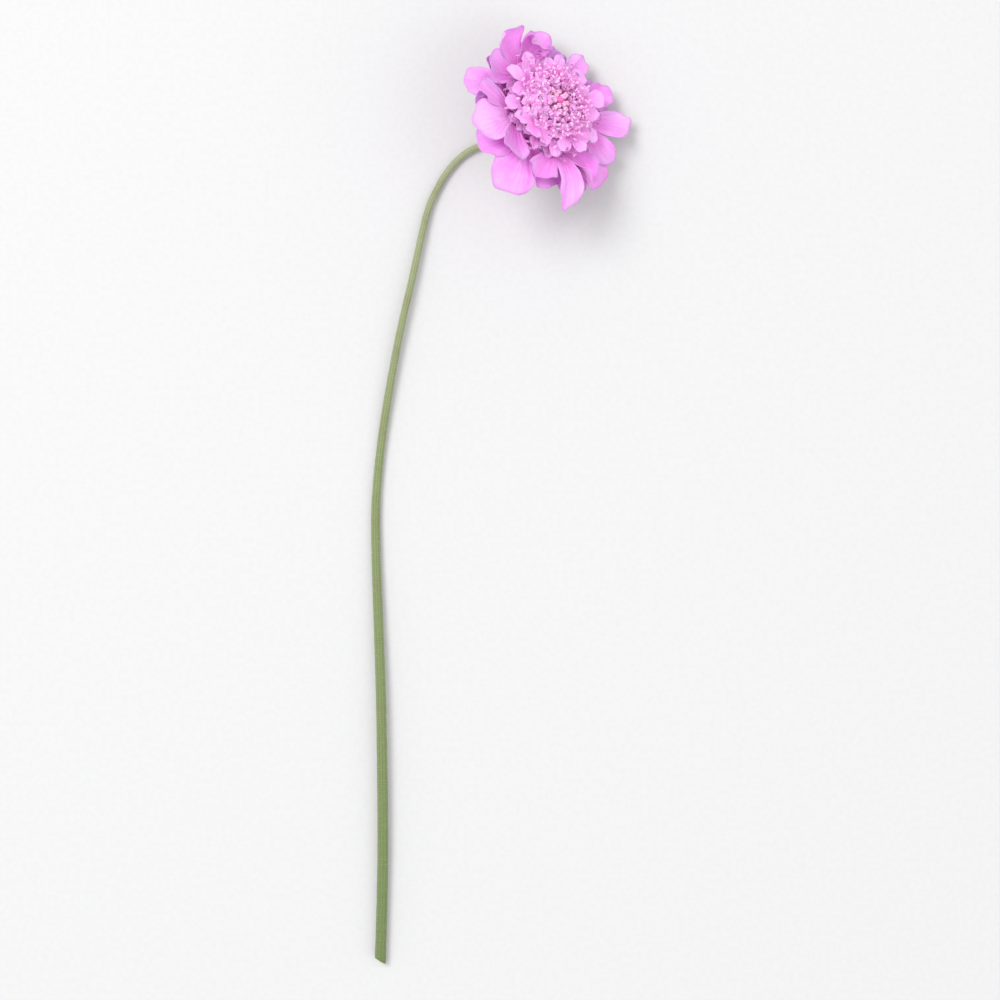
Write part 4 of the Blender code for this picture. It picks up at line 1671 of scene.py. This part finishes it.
@dataclass(frozen=True)
class Receptacle:
    """What the florets stand on: the domed core, the ribbed fruits with their papery collars, the dark
    bristles of their calyxes, and the narrow scales between them."""

    head: HeadFrame
    core: LeafyFinish
    fruit: LeafyFinish
    bristle: SlimFinish
    marginal: MarginalWhorl
    profile: tuple[tuple[float, ...], ...] = (
        (0.0, 4.2, 2.4), (0.12, 5.1, 3.4), (0.28, 5.7, 5.6), (0.42, 5.6, 7.6), (0.6, 6.9, 10.2),
        (0.72, 6.9, 11.6), (0.84, 5.4, 12.9), (0.93, 3.4, 14.0), (1.0, 0.6, 14.5),
    )
    core_sides: int = 60
    core_rows: int = 34
    cells: int = 20
    cell_depth: float = 0.22
    cell_rows: float = 14.0
    fruit_length: float = 3.2
    fruit_radius: float = 0.95
    fruit_start: float = 0.9
    fruit_outline: tuple[Pair, ...] = ((0.0, 0.35), (0.2, 0.8), (0.5, 1.0), (0.85, 0.86), (1.0, 0.5))
    fruit_sides: int = 32
    fruit_ribs: int = 8
    collar_length: float = 1.3
    collar_radii: Pair = (0.72, 1.47)
    collar_thickness: float = 0.1
    bristle_count: int = 6
    bristle_length: float = 4.6
    bristle_radius: float = 0.13
    bristle_taper: float = 0.85
    bristle_bend: float = 0.12
    calyx_place: float = 0.95
    calyx_radius: float = 0.45
    calyx_lengths: Pair = (0.75, 1.05)
    calyx_leans: Pair = (0.22, 0.4)
    scale_root: Pair = (4.9, 4.4)
    scale_lengths: Pair = (4.6, 5.8)
    scale_slopes: Pair = (24.0, 36.0)
    scale_outline: tuple[Pair, ...] = ((0.0, 0.4), (0.3, 0.55), (0.7, 0.38), (1.0, 0.06))
    scale_places: Pair = (0.38, 0.62)
    scale_rise: float = 0.5
    scale_cup: float = 0.15
    scale_thickness: Pair = (0.22, 0.12)
    filler_count: int = 90
    filler_reach: float = 8.6
    filler_top: float = 13.2
    filler_lengths: Pair = (3.0, 4.0)
    filler_foot: float = 0.86
    filler_depth: float = 1.2
    filler_lean: float = 0.07
    dome_fall: float = 0.035

    def add_core(self, draft: Draft) -> None:
        """Adds the domed core with its rows of small swellings.

        Args:
            draft: Its piece.
        """
        places, angles = steps(self.core_rows), circle(self.core_sides)
        read = flowing(self.profile, places)
        cells = np.cos(self.cells * angles) * np.sin(self.cell_rows * math.pi * places)[:, None]
        points = turned(read[:, :1] + self.cell_depth * cells, read[:, 1:], angles)
        draft.add_tube(self.head.placed(points), paint_of(places[:, None], cells, 0.0))

    def add_fruit(self, draft: Draft, corolla: Corolla) -> None:
        """Adds the ribbed fruit at a floret's root and the pleated collar round its top.

        Args:
            draft: Their piece.
            corolla: The floret's corolla.
        """
        root, sides, ribs = corolla.root(), self.fruit_sides, self.fruit_ribs
        way = unit(corolla.throat() - root)
        t, u = steps(12), steps(5)
        line = root + way * (self.fruit_start + self.fruit_length * t)[:, None]
        radii = flowing(self.fruit_outline, t) * self.fruit_radius
        rings = rings_along(self.head.placed(line), radii, sides, ribs, rib_depth=0.1)
        draft.add_tube(rings, paint_of(t[:, None] * 0.5, np.cos(ribs * circle(sides)), 0.0))
        line = line[-3] + way * (self.collar_length * u)[:, None]
        narrow, wide = self.collar_radii
        radii = narrow + (wide - narrow) * u**1.4
        collar = rings_along(self.head.placed(line), radii, sides, ribs * 2, rib_depth=0.05)
        draft.add_shell(collar, np.full(5, self.collar_thickness), paint_of(0.0, 0.5, -1.0), closed=True)

    def add_bristle(self, draft: Draft, start: Array, way: Array, length: float, tone: float) -> None:
        """Adds one stiff calyx bristle.

        Args:
            draft: Its piece.
            start: Its foot in the head's frame.
            way: The way that it points, bending up a little.
            length: Its length.
            tone: How light it is.
        """
        t = steps(5)[:, None]
        line = start + way * (length * t) + UP * (self.bristle_bend * length * t**2)
        radii = self.bristle_radius * (1.0 - self.bristle_taper * t[:, 0])
        draft.add_tube(rings_along(self.head.placed(line), radii, 4), paint_of(t, 0.0, tone))

    def add_scale(self, draft: Draft, turn: float, rng: random.Random) -> None:
        """Adds one narrow scale between two marginal florets.

        Args:
            draft: Its piece.
            turn: Its azimuth.
            rng: Draws the small differences.
        """
        u, v = steps(7)[:, None], np.linspace(-1.0, 1.0, 5)
        way = rising(turn, rng.uniform(*self.scale_slopes))
        length = rng.uniform(*self.scale_lengths)
        width = flowing(self.scale_outline, u[:, 0])[:, None]
        foot = around(self.scale_root[0], turn, self.scale_root[1])
        middle = foot + way * (length * u) + UP * (self.scale_rise * u**2)
        points = middle[:, None] + rising(turn + 90.0, 0.0) * (width * v)[..., None]
        points = points + UP * (self.scale_cup * v**2)[None, :, None]
        paint = paint_of(u, v, rng.uniform(-1.0, 1.0))
        thick, thin = self.scale_thickness
        thickness = thick - (thick - thin) * u[:, 0]
        draft.add_shell(self.head.placed(points), thickness, paint, closed=False)

    def add_calyx(self, draft: Draft, corolla: Corolla, rng: random.Random) -> None:
        """Adds the bristles round the foot of a marginal floret.

        Args:
            draft: Their piece.
            corolla: The floret's corolla.
            rng: Draws the small differences.
        """
        way = unit(corolla.throat() - corolla.root())
        first, second = square_to(way, UP)
        start = corolla.root() + way * (self.fruit_start + self.fruit_length * self.calyx_place)
        for number in range(self.bristle_count):
            turn = 360.0 / self.bristle_count * number + rng.uniform(-12.0, 12.0)
            side = spoke(first, second, math.radians(turn))
            length = self.bristle_length * rng.uniform(*self.calyx_lengths)
            lean, foot = unit(way + side * rng.uniform(*self.calyx_leans)), start + side * self.calyx_radius
            self.add_bristle(draft, foot, lean, length, rng.uniform(-1.0, 0.4))

    def add_filling(self, draft: Draft, rng: random.Random) -> None:
        """Adds the bristles between the small florets, spread evenly over the dome.

        Args:
            draft: Their piece.
            rng: Draws the small differences.
        """
        golden = 180.0 * (3.0 - math.sqrt(5.0))
        for number in range(self.filler_count):
            radius = self.filler_reach * math.sqrt((number + 0.5) / self.filler_count)
            height = self.filler_top - self.dome_fall * radius**2 - self.filler_depth
            foot = around(radius * self.filler_foot, golden * number, height)
            tilt = radius * self.filler_lean + rng.uniform(-0.1, 0.1)
            lean = unit(UP + rising(golden * number, 0.0) * tilt)
            self.add_bristle(draft, foot, lean, rng.uniform(*self.filler_lengths), rng.uniform(-1.0, 0.8))

    def build(self) -> Pieces:
        """Makes the core, the fruits and scales, and the bristles.

        Returns:
            The three pieces.
        """
        core, fruits, bristles = (Draft(self.head) for _ in range(3))
        rng = random.Random(SEED + 26)
        self.add_core(core)
        florets = self.marginal.florets()
        for floret in florets:
            corolla = Corolla(self.marginal.style, floret)
            self.add_fruit(fruits, corolla)
            self.add_calyx(bristles, corolla, rng)
        turns = [floret.turn for floret in florets]
        for here, there in zip(turns, turns[1:] + [turns[0] + 360.0]):
            for share in self.scale_places:
                self.add_scale(fruits, here + (there - here) * share + rng.uniform(-3.0, 3.0), rng)
        self.add_filling(bristles, rng)
        return [
            core.made("receptacle", [self.core.made()], Node.INNER, Slot.INNER),
            fruits.made("fruits", [self.fruit.made()], Node.OUTER, Slot.BRACT),
            bristles.made("calyx_bristles", [self.bristle.made()], Node.INNER, Slot.INNER),
        ]


@dataclass(frozen=True)
class Involucre:
    """The green saucer under the head with its ring of narrow bracts and their hairs."""

    head: HeadFrame
    finish: LeafyFinish
    down: SlimFinish
    saucer: tuple[tuple[float, ...], ...] = (
        (0.0, 1.2, -0.1), (0.14, 1.38, 0.1), (0.34, 2.1, 0.5), (0.6, 3.5, 1.2),
        (0.84, 4.5, 2.0), (0.93, 4.6, 2.35), (1.0, 4.2, 2.5),
    )
    bract_count: int = 12
    bract_root: Pair = (3.0, 1.4)
    bract_reach: float = 8.8
    bract_width: float = 2.2
    bract_rise: float = 1.6
    bract_keel: float = 0.35
    outline: tuple[Pair, ...] = (
        (0.0, 0.78), (0.18, 0.95), (0.36, 1.0), (0.65, 0.74), (0.88, 0.34), (1.0, 0.06),
    )
    bract_rows: int = 22
    bract_columns: int = 11
    thickness: Pair = (0.42, 0.18)
    least_height: float = 0.2
    hairs_a_bract: int = 130
    edge_hairs: float = 0.6
    hair_lengths: Pair = (0.35, 0.85)
    hair_radius: float = 0.022
    hair_spread: float = 0.22
    saucer_ribs: float = 0.035
    bract_sway: float = 0.35
    tip_curls: Pair = (-0.5, 0.9)
    bract_wave: float = 0.12

    def add_saucer(self, draft: Draft) -> None:
        """Adds the saucer, faintly ribbed where the bracts run down into it.

        Args:
            draft: Its piece.
        """
        places, angles = steps(20), circle(72)
        read = flowing(self.saucer, places)
        ribs = np.cos(self.bract_count * angles)
        reach = read[:, :1] * (1.0 + self.saucer_ribs * ribs * np.sin(math.pi * places)[:, None])
        points = self.head.placed(turned(reach, read[:, 1:], angles))
        draft.add_tube(points, paint_of(places[:, None] * 0.3, 0.5 - 0.4 * ribs, 0.0, 0.6))

    def bract(self, turn: float, reach: float, rise: float, rng: random.Random) -> Array:
        """Shapes one bract's middle surface.

        Args:
            turn: Its azimuth.
            reach: Its length.
            rise: How far it arches up.
            rng: Draws the small differences.

        Returns:
            Its points in the row frame, in rows from the root to the tip.
        """
        outward, across = rising(turn, 0.0), rising(turn + 90.0, 0.0)
        u, v = steps(self.bract_rows), np.linspace(-1.0, 1.0, self.bract_columns)
        width = flowing(self.outline, u) * self.bract_width / 2.0
        sway = rng.uniform(-self.bract_sway, self.bract_sway) * u**2
        curl = rng.uniform(*self.tip_curls) * smooth_step(0.6, 1.0, u) ** 2
        middle = outward * (self.bract_root[0] + reach * u)[:, None] + across * sway[:, None]
        middle = middle + UP * (self.bract_root[1] + rise * u**1.3 + curl)[:, None]
        keel = self.bract_keel * (width * 2.0 / self.bract_width)[:, None] * np.abs(v) ** 1.4
        wave = self.bract_wave * np.sin(9.0 * u + rng.uniform(0.0, 6.0))[:, None] * v
        points = middle[:, None] + across * (width[:, None] * v)[..., None] + UP * (keel + wave)[..., None]
        return self.head.settled(self.head.placed(points), self.least_height)

    def add_hairs(self, draft: Draft, points: Array, rng: np.random.Generator) -> None:
        """Adds the hairs along a bract's margins and over its back.

        Args:
            draft: Their piece.
            points: The bract's points in rows.
            rng: Where the hairs' places come from.
        """
        rows, columns = points.shape[:2]
        count = self.hairs_a_bract
        row = rng.integers(0, rows - 1, count)
        on_edge = rng.random(count) < self.edge_hairs
        column = np.where(on_edge, rng.choice((0, columns - 1), count), rng.integers(1, columns - 1, count))
        share = rng.random((count, 1))
        roots = points[row, column] * (1.0 - share) + points[row + 1, column] * share
        forward = unit(points[row + 1, column] - points[row, column])
        sideways = unit(points[row, columns - 1] - points[row, 0])
        below = np.cross(sideways, forward)
        sign = np.sign(column - (columns - 1) / 2.0)[:, None]
        way = forward * 0.5 + np.where(on_edge[:, None], sideways * sign, below * 1.1)
        way = unit(way + rng.normal(0.0, self.hair_spread, (count, 3)))
        tips = roots + way * rng.uniform(*self.hair_lengths, (count, 1))
        tips[:, 2] = np.maximum(tips[:, 2], 0.05)
        draft.add_hairs(roots, tips, self.hair_radius, rng.uniform(-1.0, 1.0, count))

    def build(self) -> Pieces:
        """Makes the saucer and the bracts, and their hairs.

        Returns:
            The two pieces.
        """
        green, down = Draft(self.head), Draft(self.head)
        self.add_saucer(green)
        rng, fine = random.Random(SEED + 1), random.Random(SEED + 27)
        scatter = np.random.default_rng(SEED + 28)
        u, v = steps(self.bract_rows), np.linspace(-1.0, 1.0, self.bract_columns)
        thickness = self.thickness[0] + (self.thickness[1] - self.thickness[0]) * u
        for index in range(self.bract_count):
            turn = 360.0 * (index + 0.5) / self.bract_count + rng.uniform(-4.0, 4.0)
            reach = self.bract_reach * rng.uniform(0.85, 1.1)
            rise = self.bract_rise * rng.uniform(0.8, 1.2)
            points = self.bract(turn, reach, rise, fine)
            paint = paint_of(u[:, None], v, fine.uniform(-1.0, 1.0))
            green.add_shell(points, thickness, paint, closed=False)
            self.add_hairs(down, points, scatter)
        return [
            green.made("bracts", [self.finish.made()], Node.INVOLUCRE, Slot.BRACT),
            down.made("bract_hairs", [self.down.made()], Node.INVOLUCRE, Slot.BRACT),
        ]


@dataclass(frozen=True)
class Stalk:
    """The bare stalk: its route along the table, its ribs, its down and its slanting cut."""

    head: HeadFrame
    finish: StalkFinish
    down: SlimFinish
    plan: tuple[Pair, ...] = (
        (0.0, 0.0), (-5.6, -2.2), (-10.9, -4.4), (-16.4, -7.3), (-20.6, -11.6), (-23.9, -17.0),
        (-26.7, -24.0), (-30.4, -40.6), (-34.4, -58.5), (-38.3, -81.0), (-40.3, -100.0), (-40.4, -115.0),
        (-39.7, -134.8), (-38.9, -159.5), (-38.5, -196.4), (-39.2, -226.3),
    )
    top_radius: float = 1.35
    neck_radius: float = 0.92
    cut_radius: float = 1.5
    swelling: float = 5.0
    taper_start: float = 10.0
    bows: tuple[Place, ...] = ((17.0, 112.0, 1.3), (112.0, 247.0, 1.0))
    slant: float = 0.55
    rings: int = 330
    sides: int = 40
    ribs: int = 10
    rib_depth: float = 0.036
    rib_twist: float = 0.004
    waist: float = 0.965
    dense_steps: int = 20
    knot_depth: float = 0.015
    knot_waves: Pair = (0.9, 0.23)
    floor_gap: float = 0.03
    cut_shape: tuple[Pair, ...] = (
        (0.97, 0.0), (0.93, -0.03), (0.82, 0.05), (0.74, 0.09),
        (0.5, 0.05), (0.34, 0.08), (0.28, 0.5), (0.24, 1.6),
    )
    hair_count: int = 9000
    hair_lengths: Pair = (0.25, 0.6)
    hair_radius: float = 0.02
    hair_spread: float = 0.18
    hair_leans: Pair = (0.1, 0.7)
    hair_root: float = 0.03
    crowding: float = 1.3
    least_height: float = 0.04

    def route(self, rings: int) -> tuple[Array, Array]:
        """Reads evenly spaced points along the smooth route.

        Args:
            rings: How many points to read.

        Returns:
            The points as seen from above, and their distances from the head.
        """
        points = np.array(self.plan)
        padded = np.concatenate((points[:1], points, points[-1:]))
        leaving, arriving = (padded[2:-1] - padded[:-3]) * 0.5, (padded[3:] - padded[1:-2]) * 0.5
        t = (np.arange(self.dense_steps) / self.dense_steps)[None, :, None]
        here, there = points[:-1, None], points[1:, None]
        blend = t * t * (3.0 - 2.0 * t)
        swing = leaving[:, None] * (t * (1.0 - t) ** 2) - arriving[:, None] * (t * t * (1.0 - t))
        dense = np.concatenate(((here + (there - here) * blend + swing).reshape(-1, 2), points[-1:]))
        travelled = np.concatenate(((0.0,), np.cumsum(np.linalg.norm(np.diff(dense, axis=0), axis=1))))
        wanted = np.linspace(0.0, travelled[-1], rings)
        read = np.stack([np.interp(wanted, travelled, dense[:, column]) for column in range(2)], axis=-1)
        return read, wanted

    def radius(self, distance: Array, whole: float) -> Array:
        """Gives the stalk's radius.

        Args:
            distance: The distance from the head.
            whole: The stalk's length.

        Returns:
            The radius at each distance.
        """
        swelling = (self.top_radius - self.neck_radius) * (1.0 - smooth_step(0.0, self.swelling, distance))
        taper = (self.cut_radius - self.neck_radius) * smooth_step(self.taper_start, whole, distance)
        return self.neck_radius + swelling + taper

    def height(self, distance: Array, radius: Array) -> Array:
        """Gives the height of the stalk's middle line.

        Args:
            distance: The distance from the head.
            radius: The stalk's radius there.

        Returns:
            The height: an arc down from the head, then low bows along the table.
        """
        rise = math.radians(self.head.elevation)
        top = self.head.base[2]
        bend = (top - self.neck_radius) / (1.0 - math.cos(rise))
        slope = np.arcsin(np.clip(math.sin(rise) - distance / bend, 0.0, 1.0))
        arc = top - bend * (np.cos(slope) - math.cos(rise))
        lift = np.zeros_like(distance)
        for start, end, height in self.bows:
            share = np.clip((distance - start) / (end - start), 0.0, 1.0)
            lift += height * np.sin(math.pi * share) ** 2
        return np.where(distance < bend * math.sin(rise), arc, radius + lift)

    def line(self) -> tuple[Array, Array, Array]:
        """Lays the stalk's middle line.

        Returns:
            Its points, their distances from the head and the radii there.
        """
        plan, distance = self.route(self.rings)
        radius = self.radius(distance, distance[-1])
        height = self.height(distance, radius)
        line = np.concatenate((plan + np.array(self.head.base[:2]), height[:, None]), axis=1)
        line[0] = np.array(self.head.base) + self.head.axes()[2] * 0.15
        return line, distance, radius

    def skin(self) -> tuple[Array, Array, Array]:
        """Shapes the stalk's surface.

        Returns:
            Its points in rings from the head to the cut, their ribs' heights and the way out of each.
        """
        line, distance, radius = self.line()
        ways = unit(np.gradient(line, axis=0))
        ways[0] = -self.head.axes()[2]
        angles = circle(self.sides, 0.5)
        side = np.cross(self.head.axes()[2], UP)
        rings, crests, outs = [], [], []
        last = len(line) - 1
        for index, (middle, way) in enumerate(zip(line, ways)):
            side = unit(side - way * (side @ way))
            top = np.cross(way, side)
            out = side * np.cos(angles)[:, None] + top * np.sin(angles)[:, None]
            crest = np.cos(self.ribs * angles + self.rib_twist * distance[index])
            quick, slow = (distance[index] * wave for wave in self.knot_waves)
            knots = np.sin(quick + 3.0 * np.cos(angles)) * np.sin(slow)
            reach = radius[index] * (self.waist + self.rib_depth * crest + self.knot_depth * knots)
            slant = self.slant * radius[index] * np.cos(angles) if index == last else np.zeros(self.sides)
            rings.append(middle + out * reach[:, None] + way * slant[:, None])
            crests.append(crest)
            outs.append(out)
        points = np.array(rings)
        points[..., 2] = np.maximum(points[..., 2], self.floor_gap)
        return points, np.array(crests), np.array(outs)

    def add_cut(self, draft: Draft, ring: Array, edge: Array) -> None:
        """Adds the cut face: a rind, a pale pith and the small hollow in its middle.

        Args:
            draft: Its piece.
            ring: The last ring's points.
            edge: Their indices.
        """
        middle = ring.mean(axis=0)
        inward = unit(self.line()[0][-4] - middle)
        rows = [middle + (ring - middle) * share + inward * depth for share, depth in self.cut_shape]
        shares = np.array([share for share, _ in self.cut_shape])[:, None] * np.ones(len(ring))
        index = draft.add_points(np.array(rows), paint_of(1.0, shares, 0.0, 1.0))
        draft.add_grid(np.concatenate((edge[None], index[:1])), closed=True, skin=Skin.OUT)
        draft.add_grid(index, closed=True, skin=Skin.OUT)
        draft.add_cap(index[-1], rows[-1].mean(axis=0), paint_of(1.0, 0.2, 0.0, 1.0), last=True)

    def add_down(self, draft: Draft, points: Array, outs: Array) -> None:
        """Adds the down, thicker towards the head and none where the stalk rests on the table.

        Args:
            draft: Its piece.
            points: The stalk's points in rings.
            outs: The way out of each point.
        """
        rng, count, last = np.random.default_rng(SEED + 29), self.hair_count, self.rings - 2
        row = np.minimum((rng.random(count) ** self.crowding * last).astype(int) + 1, last)
        column = rng.integers(0, self.sides, count)
        roots, out = points[row, column], outs[row, column]
        back = unit(points[row + 1, column] - points[row, column])
        lean = back * rng.uniform(*self.hair_leans, (count, 1))
        way = unit(out + lean + rng.normal(0.0, self.hair_spread, out.shape))
        tips = roots + way * rng.uniform(*self.hair_lengths, (count, 1))
        keep = tips[:, 2] > self.least_height
        feet = roots[keep] - out[keep] * self.hair_root
        draft.add_hairs(feet, tips[keep], self.hair_radius, rng.uniform(-1.0, 1.0, keep.sum()))

    def build(self) -> Pieces:
        """Makes the stalk and its down.

        Returns:
            The two pieces.
        """
        points, crests, outs = self.skin()
        along = steps(self.rings)[:, None]
        stalk, down = Draft(self.head), Draft(self.head)
        index = stalk.add_points(points, paint_of(along, crests))
        stalk.add_grid(index, closed=True, skin=Skin.IN)
        stalk.add_cap(index[0][::-1], points[0].mean(axis=0), paint_of(), last=False)
        self.add_cut(stalk, points[-1][::-1], index[-1][::-1])
        self.add_down(down, points, outs)
        return [
            stalk.made("stalk", [self.finish.made()], Node.STALK, Slot.STALK),
            down.made("stalk_down", [self.down.made()], Node.STALK, Slot.STALK),
        ]


@dataclass(frozen=True)
class Studio:
    """The pale floor, the soft lamps and the camera that looks straight down."""

    floor_colour: Colour = (0.645, 0.645, 0.65, 1.0)
    # Painted light: the floor is painted lighter far from the flower, where the lamps' light falls off.
    far_painted_light: Colour = (0.94, 0.94, 0.945, 1.0)
    fade: Pair = (0.35, 1.7)
    floor_half: float = 3.0
    world_colour: Colour = (1.0, 1.0, 1.0, 1.0)
    world_strength: float = 0.84
    key_place: Place = (-0.9, 0.76, 1.7)
    key_size: float = 1.0
    key_power: float = 27.0
    fill_place: Place = (1.25, -0.75, 1.5)
    fill_size: float = 1.9
    fill_power: float = 10.0
    lens: float = 100.0
    sensor: float = 36.0
    view_height: float = 0.272
    grain_scale: float = 700.0
    grain_shade: float = 0.975

    def add_floor(self) -> None:
        """Adds the floor: pale paper with a faint grain, made lighter away from the middle as painted
        light.
        """
        w = Weave("floor_paper")
        grain = w.noise(w.place(), self.grain_scale, 3.0)
        shade = tuple(part * self.grain_shade for part in self.floor_colour[:3])
        colour = w.mix(w.span(grain, 0.35, 0.7), self.floor_colour, (*shade, 1.0))
        # Painted light: lighter with distance from the middle, standing in for lamp light that falls off.
        away = w.node("ShaderNodeVectorMath", {0: w.place()}, "Value", operation="LENGTH")
        colour = w.mix(w.span(away, *self.fade), colour, self.far_painted_light)
        material = w.finished(Gloss(0.2), colour, 0.85)
        half = self.floor_half
        corners = [(-half, -half, 0.0), (half, -half, 0.0), (half, half, 0.0), (-half, half, 0.0)]
        mesh = bpy.data.meshes.new("floor")
        mesh.from_pydata(corners, [], [(0, 1, 2, 3)])
        mesh.materials.append(material)
        floor = bpy.data.objects.new("floor", mesh)
        bpy.context.scene.collection.objects.link(floor)

    def add_lamp(self, name: str, place: Place, size: float, power: float) -> None:
        """Adds a soft square lamp that faces the object.

        Args:
            name: The lamp's name.
            place: Where it hangs, in metres.
            size: Its side in metres.
            power: Its power in watts.
        """
        light = bpy.data.lights.new(name, "AREA")
        light.size = size
        light.energy = power
        lamp = bpy.data.objects.new(name, light)
        lamp.location = place
        lamp.rotation_mode = "QUATERNION"
        lamp.rotation_quaternion = (-Vector(place)).to_track_quat("-Z", "Y")
        bpy.context.scene.collection.objects.link(lamp)

    def add_camera(self) -> None:
        """Adds the camera over the middle of the object."""
        low, high = CAD_BOX
        camera = bpy.data.cameras.new("camera")
        camera.lens = self.lens
        camera.sensor_width = self.sensor
        distance = self.view_height / 2.0 / (self.sensor / 2.0 / self.lens)
        holder = bpy.data.objects.new("camera", camera)
        holder.location = ((low.x + high.x) / 2.0, (low.y + high.y) / 2.0, distance)
        bpy.context.scene.collection.objects.link(holder)
        bpy.context.scene.camera = holder

    def build(self) -> None:
        """Sets the scene round the object."""
        self.add_floor()
        self.add_lamp("key", self.key_place, self.key_size, self.key_power)
        self.add_lamp("fill", self.fill_place, self.fill_size, self.fill_power)
        self.add_camera()
        world = bpy.data.worlds.new("studio")
        world.use_nodes = True
        sky = world.node_tree.nodes["Background"]
        sky.inputs["Color"].default_value = self.world_colour
        sky.inputs["Strength"].default_value = self.world_strength
        bpy.context.scene.world = world
        bpy.context.scene.view_settings.view_transform = "Standard"


OUTER_PETAL = PetalFinish(
    name="outer_petal",
    throat=srgb(230, 116, 208),
    deep=srgb(240, 128, 222),
    petal=srgb(245, 149, 238),
    pale=srgb(241, 184, 244),
    # The rim's lavender tint is the petal's own; its darkness is painted shade of curled rims.
    rim=srgb(188, 130, 192),
    # A greyer back: the petal's own underside colour, made darker as painted shade of rolled lobes.
    behind=srgb(212, 162, 206),
    tube_root=srgb(226, 222, 206),
    vein=srgb(206, 96, 196),
)
MIDDLE_PETAL = PetalFinish(
    name="middle_petal",
    throat=srgb(234, 120, 210),
    deep=srgb(244, 138, 226),
    petal=srgb(251, 164, 240),
    pale=srgb(250, 188, 246),
    # A slightly darker rim: painted shade of curled rims, as on the outer petals.
    rim=srgb(214, 148, 206),
    behind=srgb(228, 178, 214),
    tube_root=srgb(222, 214, 196),
    vein=srgb(196, 84, 170),
    vein_count=3.5,
    patch_scale=260.0,
)
SMALL_PETAL = PetalFinish(
    name="small_petal",
    throat=srgb(226, 108, 190),
    deep=srgb(250, 138, 230),
    petal=srgb(255, 178, 250),
    pale=srgb(255, 204, 252),
    rim=srgb(255, 206, 251),
    behind=srgb(248, 186, 236),
    tube_root=srgb(214, 204, 170),
    vein=srgb(184, 74, 140),
    vein_count=1.5,
    patch_scale=420.0,
)
BRACT_GREEN = LeafyFinish(
    name="bract_leaf",
    foot=srgb(168, 182, 120),
    blade=srgb(138, 146, 92),
    tip=srgb(124, 96, 92),
    rib=srgb(190, 200, 150),
    behind=srgb(168, 172, 132),
)
CORE_FLESH = LeafyFinish(
    name="receptacle_flesh",
    foot=srgb(170, 176, 118),
    blade=srgb(216, 138, 172),
    tip=srgb(228, 108, 184),
    rib=srgb(226, 156, 186),
    behind=srgb(214, 128, 172),
)
FRUIT_GREEN = LeafyFinish(
    name="fruit_green",
    foot=srgb(176, 186, 128),
    blade=srgb(150, 134, 108),
    tip=srgb(128, 78, 96),
    rib=srgb(208, 212, 172),
    behind=srgb(206, 200, 182),
)
FILAMENT = SlimFinish("filament", srgb(250, 144, 228), srgb(253, 176, 240), srgb(255, 204, 248))
PISTIL = SlimFinish("pistil", srgb(250, 144, 224), srgb(255, 194, 238), srgb(255, 214, 246))
BRISTLE = SlimFinish(
    "bristle", srgb(176, 112, 130), srgb(200, 84, 162), srgb(232, 132, 200), (0.35, 0.5), Gloss(0.35)
)
DOWN = SlimFinish("down", srgb(196, 204, 170), srgb(236, 238, 224), srgb(248, 248, 240))


def main() -> None:
    """Builds the flower sub-assembly by sub-assembly, and then the studio."""
    logging.basicConfig(level=logging.INFO, format="%(name)s: %(message)s", stream=sys.stdout)
    head = HeadFrame()
    anther = AntherFinish()
    marginal = MarginalWhorl(head, OUTER_PETAL, FILAMENT, anther)
    middle = MiddleWhorl(head, MIDDLE_PETAL)
    between = MiddleWhorl(
        head,
        MIDDLE_PETAL,
        name="between_corollas",
        seed=SEED + 3,
        start=0.0,
        root=(5.2, 8.2),
        throat=(9.2, 10.2),
        count=12,
        reach=5.4,
        lifts=(8.0, 18.0),
    )
    assemblies = (
        marginal,
        between,
        middle,
        Pincushion(head, SMALL_PETAL, FILAMENT, anther, PISTIL, middle),
        Crown(head, BudFinish()),
        Receptacle(head, CORE_FLESH, FRUIT_GREEN, BRISTLE, marginal),
        Involucre(head, BRACT_GREEN, DOWN),
        Stalk(head, StalkFinish(), DOWN),
    )
    for assembly in assemblies:
        for piece in assembly.build():
            piece.data.calc_loop_triangles()
            LOG.info("%s: %d triangles", piece.name, len(piece.data.loop_triangles))
    Studio().build()


if __name__ == "__main__":
    main()
